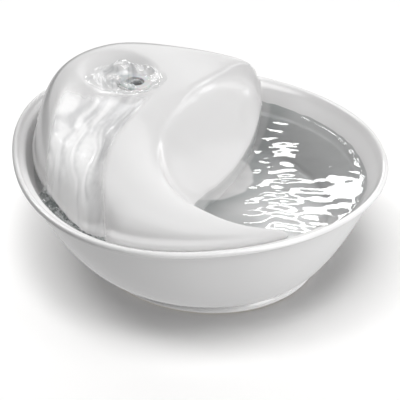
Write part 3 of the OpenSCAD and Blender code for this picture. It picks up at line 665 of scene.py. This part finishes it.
def add_water(name, points, faces, material, body, **values):
    """A sheet of water that faces up, with its attributes; the glaze under it stays lit as if it were clear."""
    a, b, c = (points[faces[:, k]] for k in range(3))
    if np.cross(b - a, c - a)[:, 2].mean() < 0:
        faces = faces[:, ::-1]
    piece = add_mesh(name, points, faces, material, body, closed=False)
    for label, numbers in values.items():
        piece.data.attributes.new(label, "FLOAT", "POINT").data.foreach_set("value", numbers.astype(np.float32))
    piece.visible_shadow = piece.visible_diffuse = False
    return piece


POOL_RINGS, POOL_STEPS = 170, 360
WAVE_STEEPNESS, WAVE_LENGTHS, WAVE_HEADING, WAVE_SPREAD = 0.019, (11.0, 18.0), 1.45, 0.32
CALM_SHARE, CALM_X, CALM_RUN, CLIMB_H, CLIMB_REACH = 0.30, 92.0, 45.0, 1.6, 1.3
pool_angles = np.linspace(0, 2 * math.pi, POOL_STEPS, endpoint=False)
share = np.linspace(0.003, 1, POOL_RINGS)
level, inset = np.full_like(pool_angles, WATER_Z), np.full_like(pool_angles, INNER_INSET - 0.2)
spoke = wall_point(pool_angles, level, INNER_FOOT_R, inset)[:, :2] - [FOOT_X, 0]
plan = [FOOT_X, 0] + spoke[None] * share[:, None, None]
x, y = plan[..., 0], plan[..., 1]
gap = np.linalg.norm(spoke, axis=-1)[None] * (1 - share[:, None])
calm = CALM_SHARE + (1 - CALM_SHARE) * ease((CALM_X - x) / CALM_RUN)
waves = ripples(plan, 5, WAVE_STEEPNESS, WAVE_LENGTHS, WAVE_HEADING, WAVE_SPREAD)
waves += 0.05 * lattice_noise(x / 9, y / 5, 6)
climb = CLIMB_H + lattice_noise(x / 6, y / 6, 8)
climb *= np.exp(-gap / (CLIMB_REACH + 0.7 * lattice_noise(x / 9, y / 9, 9)))
surface = WATER_Z + waves * calm * ease(gap / 8) + climb
points, faces = disc(lift(plan, surface), [FOOT_X, 0, surface[0].mean()])
shore_line = along(SHORE_PLAN, np.linspace(1.5, LAST - 0.5, 90)) * HALF
from_shore = np.min([distance(points, q) for q in shore_line], axis=0)
tint_wobble = 0.5 + 0.5 * lattice_noise(points[:, 0] / 9 + 3, points[:, 1] / 6 + 3, 51)
# Painted shade by the shore, a painted reflection of the pale face in a patch, painted light by the front arm, a middle
# level over the skirt.
clear = SHORE_SHADE_LEVEL + SHORE_SHADE_LIFT * (1 - ease((34 - from_shore) / 22)) + 0.06 * (tint_wobble - 0.5)
pale = ease((PALE_R + 3 * tint_wobble - distance(points, PALE_PLACE)) / 3)
by_arm = ARM_PAINTED_LIGHT * ease((ARM_R - distance(points, ARM_PLACE, 1 / 0.6)) / 24)
clear += (PAINTED_REFLECTION_LEVEL + 0.28 * tint_wobble - clear) * pale + by_arm * (1 - pale)
clear += (SKIRT_PAINTED_SHADE + 0.35 * pale - clear) * ease((SKIRT_REACH - from_shore) / 2.5)
pool = add_water("pool_water", points, faces, water, "base", clear=clear)

# ---- water in the channel ----
# A thin film runs from the dish down the channel and over the exit's edge.
# It is clear, and its colour is painted light and shade: pale and grey streaks along the flow, a painted highlight down
# its left side, painted shade along its right bank and paler where it pools; it goes where the cover goes.

FILM_ROWS, FILM_COLUMNS, FILM_START, FILM_END = 430, 210, 2.6, 8.5
FILM_THICKNESS, STREAK_H, FILM_ALPHA = 0.6, 0.7, 0.60
FILM_SHADE_TINT, FILM_LIGHT_TINT = (0.57, 0.57, 0.58), (1.0, 1.0, 1.0)
film, tree, shader = new_material("film_water", Roughness=0.06, IOR=WATER_IOR)
feed(tree, shader, Base_Color=by_attribute(tree, "streak", FILM_SHADE_TINT, FILM_LIGHT_TINT))
wet = tree.nodes.new("ShaderNodeAttribute")
wet.attribute_name = "wet"
feed(tree, shader, Alpha=wet.outputs["Fac"])


def channel_wetness(p):
    """How wet the channel is: full at its middle, fading at its banks and into the dish."""
    f, n = channel_place(p)
    return ease((1.08 - np.abs(n)) / 0.2) * ease((DISH[1] - 8 - p[..., 1]) / 16)


def streak_height(p):
    """Long streaks in channel coordinates, a few millimetres wide, with finer ones between them."""
    f, n = channel_place(p)
    down = f * 110.0
    bend = 0.35 * lattice_noise(n * 2.1 + 9, down / 24, 21)
    streaks = 0.60 * lattice_noise((n + bend) * 4.2 + 20, down / 34 + 3, 22)
    streaks += 0.32 * lattice_noise((n + bend) * 9 + 40, down / 20 + 5, 23)
    return streaks + 0.10 * lattice_noise(p[..., 0] / 2.3 + 60, p[..., 1] / 3.1 + 60, 24)


PAINTED_LIGHT_BANDS = (
    # place across the channel, half width, lightness: painted highlight above 0, painted shade below
    (-0.72, 0.17, 0.55), (-0.28, 0.13, 0.40), (0.80, 0.17, -0.26), (-0.02, 0.12, -0.25), (-0.50, 0.06, -0.20))


def painted_light_bands(p):
    """Painted light and shade across the channel: a sum of bands exp(-d^2), which even out to a pale level where it
    pools.
    """
    f, n = channel_place(p)
    n = n + 0.10 * lattice_noise(f * 9 + 5, n * 0 + 5, 27)
    bands = sum(lightness * np.exp(-((n - place) / wide) ** 2) for place, wide, lightness in PAINTED_LIGHT_BANDS)
    pooled = ease((f - 0.62) / 0.25)
    return bands * (1 - pooled) + 0.45 * pooled


path = outer_sections(np.linspace(FILM_START, FILM_END, FILM_ROWS))
path = respace(path, [6, 4, FILM_COLUMNS - 10], [5, 7, 10, 10 + int(TOP_STEPS * 0.9)])
path = fair(path, SECTION_FAIRING)
normal = np.cross(np.gradient(path, axis=0), np.gradient(path, axis=1))
normal /= np.maximum(np.linalg.norm(normal, axis=-1, keepdims=True), 1e-9)
normal *= np.sign(normal[FILM_ROWS // 2, FILM_COLUMNS // 2, 2])
plan = path[..., :2]
wetness, streaks = channel_wetness(plan), streak_height(plan)
raised = path + normal * (wetness * (FILM_THICKNESS + STREAK_H * streaks) + 0.02)[..., None]
faces = grid_faces(FILM_ROWS, path.shape[1], wrap=False)
faces = faces[(wetness.ravel() > 0.01)[faces].any(1)]
used, faces = np.unique(faces, return_inverse=True)
# Painted light and shade: the film's colour follows the streaks and the bands.
streaks = ease(0.62 + 0.9 * streaks + painted_light_bands(plan))
channel_water = add_water("channel_water", raised.reshape(-1, 3)[used], faces.reshape(-1, 4), film, "cover",
                          wet=FILM_ALPHA * wetness.ravel()[used], streak=streaks.ravel()[used])

# ---- water in the dish ----
# The pump's water wells up through the spout in a glassy lobed mound.
# Rings spread from it over the dish, with grey lines of painted shade on its steep edges and in curling folds.

LOBES = (
    # middle x, y, half width, half depth, height
    (-56.0, 42.0, 10.5, 9.5, 10.0), (-64.0, 31.0, 7.5, 8.0, 5.0), (-79.0, 27.0, 8.5, 14.0, 3.6),
    (-43.0, 46.0, 9.0, 7.0, 3.4), (-56.0, 22.0, 8.0, 5.0, 2.0))
MOUTH, MOUTH_R = (-47.5, 30.5), 6.5
RING_R, RING_H, RING_LENGTH = 17.0, 0.45, 0.85
GLASSY_TINT, FOLD_SHADE_TINT = (0.99, 0.995, 0.995), (0.50, 0.52, 0.53)
clear_water, tree, shader = new_material("dish_water", Roughness=0.01, IOR=WATER_IOR, Transmission_Weight=1.0)
feed(tree, shader, Base_Color=by_attribute(tree, "fold", GLASSY_TINT, FOLD_SHADE_TINT))


def well_height(p):
    """Height of the welling water: flat-topped lobes exp(-r^5), rings about them and small ripples."""
    wobble = 1 + 0.22 * lattice_noise(p[..., 0] / 7 + 30, p[..., 1] / 7 + 30, 25)
    height = np.zeros(p.shape[:-1])
    for x, y, wide, deep, tall in LOBES:
        height = np.maximum(height, tall * np.exp(-(distance(p, (x, y), wide, deep) * wobble) ** 5))
    r = distance(p, LOBES[0]) * wobble
    height += RING_H * np.sin(r / RING_LENGTH) * np.exp(-((r - RING_R) / 8) ** 2)
    height += 0.45 * lattice_noise(p[..., 0] / 2.6 + 11, p[..., 1] / 2.6 + 17, 26)
    return height * (1 - 0.80 * np.exp(-distance(p, MOUTH, MOUTH_R, MOUTH_R) ** 6))


def swirls(p):
    """Thin curling lines, (1 - |n|)^6 of a noise n whose place is bent by a broader one."""
    x, y = p[..., 0], p[..., 1]
    bent_x = x / 5 + 1.3 * lattice_noise(x / 11 + 4, y / 11 + 4, 28)
    bent_y = y / 4 + 1.3 * lattice_noise(x / 11 + 9, y / 11 + 9, 29)
    return (1 - np.abs(lattice_noise(bent_x + 30, bent_y + 30, 30))) ** 6


DISH_RINGS, DISH_STEPS = 130, 260
turn = np.linspace(0, 2 * math.pi, DISH_STEPS, endpoint=False)[None]
share = np.linspace(0.004, 1, DISH_RINGS)[:, None]
reach = 0.97 * np.stack([DISH_RX * np.cos(turn), DISH_RY * np.sin(turn)], -1)
plan = DISH + reach * share[..., None]
edge_fade = ease((1 - share) / 0.22)
heights = well_height(plan)
plan_z = dish_height(plan) + 0.3 + 1.2 * edge_fade + heights * edge_fade
slope = np.hypot(well_height(plan + [0.3, 0]) - heights, well_height(plan + [0, 0.3]) - heights) / 0.3
# Painted shade: grey lines where the mound is steep and along the swirls.
folds = (0.45 * ease(slope / 1.6) + 0.85 * swirls(plan)) * edge_fade
points, faces = disc(lift(plan, plan_z), [*DISH, plan_z[0].mean()])
dish_water = add_water("dish_water", points, faces, clear_water, "cover", fold=np.append(folds.ravel(), 0.0))

# ---- water at the exit ----
# Where the channel ends, the water drops over the edge.
# It churns and froths in the gap before the bowl's wall, and its dark tint there is painted shade.

CHURN_Z, GAP_SHADE_TINT, FROTH_TINT = 76.0, (0.24, 0.28, 0.27), (0.92, 0.94, 0.94)
spill_places = np.linspace(2.7, 4.5, 220)
share = np.linspace(0, 1, 34)
exit_angle, spread = along(STATION_ANGLE, spill_places), edge_gap(spill_places)
near = egg(exit_angle, INNER_INSET + SKIRT_GAP + spread + 2.0)
far = egg(exit_angle, np.full_like(exit_angle, INNER_INSET + 0.6))
plan = near[:, None] + (far - near)[:, None] * share[None, :, None]
x, y = plan[..., 0], plan[..., 1]
fall = (FLANGE_Z - channel_depth(near) - 3.0 - CHURN_Z)[:, None] * (1 - share[None]) ** 2.2
churn = 1.3 * lattice_noise(x / 3.1 + 7, y / 3.1 + 7, 41) + 0.7 * lattice_noise(x / 1.5 + 9, y / 1.5 + 9, 42)
spill_glass, tree, shader = new_material("spill_water", Roughness=0.03, IOR=WATER_IOR, Transmission_Weight=0.8)
froth = range_node(tree, noise_node(tree, object_vector(tree), 230.0, 5.0, 1.5), 0.44, 0.60, 0.0, 1.0)
# Painted shade: the dark tint darkens the gap, and the noise mixes in pale froth.
feed(tree, shader, Base_Color=mix_colour(tree, froth, GAP_SHADE_TINT, FROTH_TINT))
spill = add_water("spill_water", lift(plan, CHURN_Z + np.maximum(fall, 0) + churn).reshape(-1, 3),
                  grid_faces(len(spill_places), len(share), wrap=False), spill_glass, "base")

# ---- seal and riser ----
# A soft clear collar lines the hole of the dish, and a tube brings the pump's water up to it.
# Both are moulded silicone; the collar goes with the cover, the tube stands on the pump.


def node_group(name, inputs, outputs):
    """A new shader node group with float or colour sockets, given as {name: (kind, value)}."""
    group = bpy.data.node_groups.new(name, "ShaderNodeTree")
    for label, (kind, value) in inputs.items():
        socket = group.interface.new_socket(label, in_out="INPUT", socket_type=f"NodeSocket{kind}")
        socket.default_value = value
    for label, kind in outputs.items():
        group.interface.new_socket(label, in_out="OUTPUT", socket_type=f"NodeSocket{kind}")
    return group, group.nodes.new("NodeGroupInput"), group.nodes.new("NodeGroupOutput")


grain, grain_in, grain_out = node_group(
    "moulded_grain",
    {"Vector": ("Vector", (0.0, 0.0, 0.0)), "Tint": ("Color", (0.5, 0.5, 0.5, 1.0)),
     "Worn": ("Color", (0.6, 0.6, 0.6, 1.0)), "Amount": ("Float", 0.2), "Scale": ("Float", 60.0),
     "Fine Scale": ("Float", 900.0), "Gloss": ("Float", 0.35), "Gloss Range": ("Float", 0.1)},
    {"Color": "Color", "Roughness": "Float", "Height": "Float"},
)
given = grain_in.outputs
patches, pits = noise_node(grain, given["Vector"], 1.0, 3.0), noise_node(grain, given["Vector"], 1.0, 2.0)
feed(grain, patches.node, Scale=given["Scale"])
feed(grain, pits.node, Scale=given["Fine Scale"])
worn = math_node(grain, "MULTIPLY", range_node(grain, patches, 0.35, 0.7, 0.0, 1.0), given["Amount"])
swing = math_node(grain, "MULTIPLY", math_node(grain, "SUBTRACT", patches, 0.5), given["Gloss Range"])
feed(grain, grain_out, Color=mix_colour(grain, worn, given["Tint"], given["Worn"]),
     Roughness=math_node(grain, "ADD", given["Gloss"], swing),
     Height=math_node(grain, "ADD", pits, math_node(grain, "MULTIPLY", patches, 0.6)))


def moulded(name, tint, worn_tint, amount, gloss, depth, scale=60.0, fine_scale=900.0, **values):
    """A material on the grain group, with its bump depth in metres."""
    material, tree, shader = new_material(name, **values)
    node = tree.nodes.new("ShaderNodeGroup")
    node.node_tree = grain
    for label, value in (("Tint", (*tint, 1.0)), ("Worn", (*worn_tint, 1.0)), ("Amount", amount), ("Scale", scale),
                         ("Fine Scale", fine_scale), ("Gloss", gloss), ("Gloss Range", 0.25)):
        node.inputs[label].default_value = value
    feed(tree, node, Vector=object_vector(tree))
    feed(tree, shader, Base_Color=node.outputs["Color"], Roughness=node.outputs["Roughness"])
    add_bump(tree, shader, node.outputs["Height"], depth, 0.6)
    return material


def dress(material, *names):
    """Puts a material on CAD pieces."""
    for name in names:
        for slot in nodes[name].material_slots:
            slot.material = material


silicone = moulded("silicone", (0.72, 0.73, 0.735), (0.80, 0.80, 0.80), 0.5, 0.30, 0.00003,
                   Subsurface_Weight=0.3, Subsurface_Scale=0.004)
dress(silicone, "spout_seal", "suction_cup_1", "suction_cup_2", "suction_cup_3", "suction_cup_4")
# The tube's grey is partly its own smoky tint and partly painted shade, darkening the spout's mouth.
smoky_and_shaded = moulded("smoky_shaded_tube", (0.60, 0.61, 0.62), (0.70, 0.71, 0.71), 0.4, 0.30, 0.00003)
dress(smoky_and_shaded, "riser_tube")

# ---- pump ----
# Submersible pump of dark moulded plastic: motor housing with its cap, chamber, faceplate and cord gland.
# Its seals are black rubber, and limescale leaves pale patches on the plastic.

pump_plastic = moulded("pump_plastic", (0.028, 0.032, 0.038), (0.10, 0.105, 0.11), 0.45, 0.42, 0.00005, 45.0, 1400.0)
dress(pump_plastic, "pump_housing", "rear_cap", "chamber_cover", "intake_faceplate", "impeller_wheel")
lever_plastic = moulded("lever_plastic", (0.30, 0.32, 0.35), (0.45, 0.46, 0.47), 0.35, 0.38, 0.00004, 70.0, 1400.0)
dress(lever_plastic, "flow_slider")
black_rubber = moulded("black_rubber", (0.018, 0.018, 0.018), (0.07, 0.068, 0.065), 0.5, 0.62, 0.00004, 110.0, 1800.0)
dress(black_rubber, "cord_gland", "chamber_seal", "front_bush", "rear_bush")

# ---- motor ----
# Behind the chamber: stacked steel core, copper windings in its slots, all potted in resin.
# The ferrite rotor turns on a ceramic shaft.


def banded(name, tint, groove, direction, period, gloss, **values):
    """A material of fine parallel bands with grooves between them, as of stacked sheets or laid wire."""
    material, tree, shader = new_material(name, **values)
    wave = tree.nodes.new("ShaderNodeTexWave")
    wave.bands_direction = direction
    wave.inputs["Scale"].default_value = 2 * math.pi / 20 / period
    wave.inputs["Distortion"].default_value = 0.6
    wave.inputs["Detail Scale"].default_value = 0.5
    feed(tree, wave, Vector=object_vector(tree))
    mottle = noise_node(tree, object_vector(tree), 240.0, 3.0)
    share = math_node(tree, "MULTIPLY", range_node(tree, wave.outputs["Fac"], 0.1, 0.6, 1.0, 0.0), mottle)
    feed(tree, shader, Base_Color=mix_colour(tree, share, tint, groove),
         Roughness=range_node(tree, mottle, 0.3, 0.7, gloss - 0.08, gloss + 0.10))
    add_bump(tree, shader, wave.outputs["Fac"], 0.0001, 0.8)
    return material


steel = banded("laminated_steel", (0.42, 0.43, 0.45), (0.12, 0.11, 0.11), "Y", 0.0006, 0.38, Metallic=0.9)
dress(steel, "stator_core")
copper = banded("copper_wire", (0.60, 0.25, 0.10), (0.16, 0.05, 0.02), "Z", 0.0005, 0.30, Metallic=0.85)
dress(copper, "stator_coil_1", "stator_coil_2")
potting = moulded("potting", (0.02, 0.02, 0.022), (0.05, 0.05, 0.05), 0.3, 0.16, 0.00004, 55.0, 300.0)
dress(potting, "potting_resin")
ferrite = moulded("ferrite", (0.045, 0.044, 0.046), (0.11, 0.10, 0.10), 0.5, 0.55, 0.00005, 150.0, 2400.0)
dress(ferrite, "rotor_magnet")
ceramic = moulded("shaft_ceramic", (0.80, 0.77, 0.70), (0.86, 0.85, 0.82), 0.5, 0.22, 0.00001, 90.0, 2600.0)
dress(ceramic, "rotor_shaft")

# ---- intake foam ----
# Open-cell pad of dark polyether foam behind the faceplate's slots.
# It is cut a little small and springy, and the faceplate holds it.

NAP, PAD_ROWS, PAD_STEPS = 0.6, 72, 160


def plump(name, node, thin, squareness, edge, material, body, texture):
    """A padded slab in a node's box: a superellipsoid with a soft edge, plus a surface texture along its normal.

    Round the outline it goes as cos^k and sin^k, and through its thickness as sin^m and cos^m.
    """
    low, high = (np.array(corner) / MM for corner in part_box(node))
    middle, half = (low + high) / 2, (high - low) / 2
    wide, tall = [axis for axis in range(3) if axis != thin]
    across = np.linspace(0, math.pi, PAD_ROWS + 2)[1:-1, None]
    around = np.linspace(0, 2 * math.pi, PAD_STEPS, endpoint=False)[None]
    out = np.zeros((PAD_ROWS, PAD_STEPS, 3))
    ring = signed_power(np.sin(across), edge)
    out[..., wide] = ring * signed_power(np.cos(around), squareness)
    out[..., tall] = ring * signed_power(np.sin(around), squareness)
    out[..., thin] = signed_power(np.cos(across), edge) * np.ones_like(around)
    away = out / np.maximum(np.linalg.norm(out, axis=-1, keepdims=True), 1e-6)
    points = middle + out * (half - NAP) + away * (0.5 * NAP * (1 + texture(out * half)))[..., None]
    if (thin + 1) % 3 != wide:
        points = points[:, ::-1]
    piece = add_mesh(name, *capped_rings(points[::-1]), material, body)
    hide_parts(node)


def cell_material(name, cell, wall, size, depth, gloss):
    """A material of cells: colour and height from a Voronoi pattern, as open foam or as grains; its colour is painted
    shade, darker in the pores and between the grains.
    """
    material, tree, shader = new_material(name, Roughness=gloss, Sheen_Weight=0.15)
    cells = tree.nodes.new("ShaderNodeTexVoronoi")
    cells.inputs["Scale"].default_value = 1 / size
    vector = object_vector(tree)
    feed(tree, cells, Vector=vector)
    # Painted shade: darker in the foam's pores and between the grains.
    depth_shade = range_node(tree, cells.outputs["Distance"], 0.1, 0.6, 0.0, 1.0)
    feed(tree, shader, Base_Color=mix_colour(tree, depth_shade, cell, wall))
    add_bump(tree, shader, math_node(tree, "ADD", depth_shade, noise_node(tree, vector, 0.6 / size, 2.0)), depth, 0.9)
    return material


foam = cell_material("open_foam", (0.012, 0.014, 0.018), (0.10, 0.12, 0.15), 0.0009, 0.0004, 0.95)
plump("foam_pad", "intake_foam", 1, 0.22, 0.25, foam, "faceplate",
      lambda p: 0.4 * lattice_noise(p[..., 0] / 0.9 + 31, p[..., 2] / 0.9 + 31, 31))

# ---- filter ----
# Upright housing of milky plastic with slotted windows; the cartridge in it lifts out by its tab.
# The cartridge is a white frame round a fleece pouch filled with carbon grains.

milky = moulded("milky_plastic", (0.74, 0.75, 0.76), (0.62, 0.61, 0.57), 0.35, 0.34, 0.00004, 40.0, 1200.0,
                Subsurface_Weight=0.2, Subsurface_Scale=0.003)
dress(milky, "filter_housing", "cartridge_frame")
fleece, tree, shader = new_material("fleece", Roughness=0.95, Sheen_Weight=0.4)
vector = object_vector(tree)
fibres = noise_node(tree, vector, 700.0, 5.0, 2.5)
showing = range_node(tree, noise_node(tree, vector, 520.0, 2.0), 0.5, 0.68, 0.0, 0.35)
pale = mix_colour(tree, range_node(tree, fibres, 0.35, 0.65, 0.0, 1.0), (0.70, 0.71, 0.72), (0.86, 0.86, 0.86))
feed(tree, shader, Base_Color=mix_colour(tree, showing, pale, (0.30, 0.30, 0.31)))
add_bump(tree, shader, fibres, 0.0004, 0.9)
plump("fleece_pouch", "filter_fleece", 0, 0.16, 0.45, fleece, "cartridge",
      lambda p: 0.8 * lattice_noise(p[..., 1] / 1.9 + 33, p[..., 2] / 1.9 + 33, 33))
carbon = cell_material("carbon_grains", (0.035, 0.035, 0.036), (0.008, 0.008, 0.008), 0.0015, 0.0006, 0.75)
plump("carbon_grains", "carbon_fill", 0, 0.2, 0.5, carbon, "cartridge",
      lambda p: lattice_noise(p[..., 1] / 1.1 + 35, p[..., 2] / 1.1 + 35, 35))

# ---- stage ----
# A pale floor that takes the bowl's soft shadow, in a plain white surround.
# The floor, the bowl, the cover and the water each have lamps of their own, and the ripples mirror small ones.

FLOOR_SEEN, FLOOR_BOUNCE = (1.0, 0.995, 0.99), (0.11, 0.11, 0.11)
FLOOR_HALF, FLOOR_Z, SURROUND = 8.0, -0.0004, 0.3
floor_mesh = bpy.data.meshes.new("floor")
corners = [(x * FLOOR_HALF, y * FLOOR_HALF, 0.0) for x, y in ((-1, -1), (1, -1), (1, 1), (-1, 1))]
floor_mesh.from_pydata(corners, [], [(0, 1, 2, 3)])
floor = bpy.data.objects.new("floor", floor_mesh)
bpy.context.scene.collection.objects.link(floor)
floor.location.z = FLOOR_Z
paper, tree, shader = new_material("paper", Roughness=1.0, Specular_IOR_Level=0.0)
path = tree.nodes.new("ShaderNodeLightPath")
feed(tree, shader, Base_Color=mix_colour(tree, path.outputs["Is Camera Ray"], FLOOR_BOUNCE, FLOOR_SEEN))
floor_mesh.materials.append(paper)

world = bpy.data.worlds.new("surround")
bpy.context.scene.world = world
world.use_nodes = True
tree = world.node_tree
background = tree.nodes["Background"]
path = tree.nodes.new("ShaderNodeLightPath")
background.inputs["Color"].default_value = (1.0, 1.0, 1.0, 1.0)
mirrored = math_node(tree, "MAXIMUM", path.outputs["Is Glossy Ray"], path.outputs["Is Transmission Ray"])
mirrored = math_node(tree, "MULTIPLY", mirrored, SURROUND)
feed(tree, background, Strength=math_node(tree, "MAXIMUM", path.outputs["Is Camera Ray"], mirrored))


def linked(name, pieces, apart=False):
    """A collection of the pieces, or of everything apart from them, for a lamp to light or be blocked by."""
    group = bpy.data.collections.new(name)
    for index, piece in enumerate(pieces):
        group.objects.link(piece)
        if apart:
            group.collection_objects[index].light_linking.link_state = "EXCLUDE"
    return group


only_floor = linked("only_floor", [floor])
only_bowl = linked("only_bowl", [bowl])
only_water = linked("only_water", [pool])
only_dish = linked("only_dish", [dish_water, channel_water, spill])
only_well = linked("only_well", [dish_water])
cover_side = linked("cover_side", [floor, bowl, pool, dish_water, spill], apart=True)
above_floor = linked("above_floor", [floor], apart=True)


def add_lamp(name, kind, energy, place, target, receivers, blockers=None):
    """A lamp in its place, facing a target, that lights only the receivers."""
    lamp = bpy.data.objects.new(name, bpy.data.lights.new(name, kind))
    lamp.data.energy = energy
    lamp.location = place
    lamp.rotation_euler = (Vector(target) - Vector(place)).to_track_quat("-Z", "Y").to_euler()
    bpy.context.scene.collection.objects.link(lamp)
    lamp.light_linking.receiver_collection = receivers
    lamp.light_linking.blocker_collection = blockers
    return lamp


def softbox(name, place, target, size, power, receivers):
    """A flat area lamp of a width and a height in metres."""
    lamp = add_lamp(name, "AREA", power, place, target, receivers)
    lamp.data.shape = "RECTANGLE"
    lamp.data.size, lamp.data.size_y = size
    return lamp


def side(azimuth, elevation):
    """Direction by its azimuth from +X and its elevation, in degrees."""
    a, e = math.radians(azimuth), math.radians(elevation)
    return np.array([math.cos(a) * math.cos(e), math.sin(a) * math.cos(e), math.sin(e)])


# Broad suns: direction, spread in degrees, and the share of full white that they give a sheet that faces them.
for name, azimuth, elevation, spread, share, receivers, blockers in (
        ("floor_back", 90, 45, 60, 0.228, only_floor, None),
        ("floor_front_left", 225, 75, 36, 0.562, only_floor, None),
        ("floor_left", 180, 60, 16, 0.153, only_floor, None),
        ("floor_right", 0, 75, 16, 0.063, only_floor, None),
        ("floor_front", 270, 75, 16, 0.12, only_floor, None),
        ("cover_back", 90, 45, 100, 0.572, cover_side, None),
        ("cover_below", 0, -90, 150, 0.524, cover_side, above_floor),
        ("cover_low_front", -90, -40, 100, 1.3, cover_side, above_floor),
        ("bowl_below", 0, -90, 150, 0.56, only_bowl, above_floor),
        ("bowl_inside", 5, 32, 50, 0.14, only_bowl, only_bowl),
        ("dish_sky", 80, 62, 44, 0.8, only_well, None)):
    sun = add_lamp(name, "SUN", math.pi * share, side(azimuth, elevation), (0.0, 0.0, 0.0), receivers, blockers)
    sun.data.angle = math.radians(spread)

# Softboxes at one distance: direction, size, and power in watts.
# The bowl mirrors its own; the cover mirrors only the crest's strips, which give it no other light.
LAMP_TARGET, LAMP_DISTANCE = np.array([0.0, 0.0, 0.06]), 1.35
for name, azimuth, elevation, size, power, receivers in (
        ("bowl_back_left", 135, 48, (0.6, 0.6), 8.4, only_bowl),
        ("bowl_front", 270, 48, (0.6, 0.6), 2.2, only_bowl),
        ("bowl_front_right", 315, 48, (0.6, 0.6), 9.1, only_bowl),
        ("bowl_back_right", 45, 48, (0.6, 0.6), 5.1, only_bowl),
        ("bowl_low_front", 315, 12, (0.5, 0.5), 5.6, only_bowl),
        ("bowl_low_back", 90, 12, (0.5, 0.5), 3.7, only_bowl),
        ("cover_right", 0, 48, (0.6, 0.6), 1.8, cover_side),
        ("cover_front_left", 225, 48, (0.6, 0.6), 1.7, cover_side),
        ("cover_front_right", 315, 48, (0.6, 0.6), 7.5, cover_side),
        ("cover_low_right", 0, 12, (0.5, 0.5), 2.4, cover_side),
        ("cover_low_back", 45, 12, (0.5, 0.5), 1.15, cover_side),
        ("crest_top", 15, 2, (0.30, 0.06), 0.07, cover_side),
        ("crest_middle", 12, 9, (0.40, 0.15), 0.46, cover_side),
        ("crest_second", 56, 5, (0.45, 0.05), 0.21, cover_side),
        ("crest_low", 34, 4, (0.55, 0.12), 0.83, cover_side)):
    place = side(azimuth, elevation) * LAMP_DISTANCE + LAMP_TARGET
    lamp = softbox(name, place, LAMP_TARGET, size, power, receivers)
    lamp.visible_glossy = not name.startswith("cover")
    lamp.visible_diffuse = not name.startswith("crest")


def glint(name, piece, place, size, brightness, receivers, tilt=(0.0, 0.0)):
    """A lamp, a metre away, where a piece would mirror it to the camera at a plan place in millimetres.

    The lamp lies along d - 2 (d . n) n, with d the view direction and n the piece's normal there plus a tilt.
    """
    spots = np.empty(len(piece.data.vertices) * 3)
    piece.data.vertices.foreach_get("co", spots)
    nearest = piece.data.vertices[int(distance(spots.reshape(-1, 3), np.array(place) * MM).argmin())]
    normal = (Vector((0, 0, 1)) if piece == pool else nearest.normal.copy()) + Vector((*tilt, 0.0))
    normal.normalize()
    ray = (nearest.co - camera.matrix_world.translation).normalized()
    away = ray - 2 * ray.dot(normal) * normal
    softbox(name, nearest.co + away, nearest.co, size, brightness * math.pi * size[0] * size[1], receivers)


glint("window_tall", pool, (70, 24), (0.05, 0.02), 17, only_water)
glint("window_wide", pool, (106, -41), (0.065, 0.04), 17, only_water)
glint("window_mid", pool, (68, -45), (0.12, 0.03), 17, only_water)
glint("window_near", pool, (44, -84), (0.12, 0.022), 17, only_water)
glint("wall_glint", pool, (116, 25), (0.18, 0.10), 20, only_water, (-0.26, -0.08))
glint("wall_glint_far", pool, (104, 52), (0.16, 0.08), 20, only_water, (-0.23, -0.14))
glint("dish_back", dish_water, (-56, 47), (0.12, 0.12), 16, only_dish)
glint("dish_left", dish_water, (-80, 33), (0.16, 0.10), 14, only_dish)
glint("dish_front", dish_water, (-56, 22), (0.12, 0.10), 16, only_dish)
glint("channel_left", channel_water, (-104, -30), (0.09, 0.45), 16, only_dish)
glint("channel_right", channel_water, (-76, -2), (0.05, 0.20), 12, only_dish)

bpy.context.scene.view_settings.view_transform = "Standard"
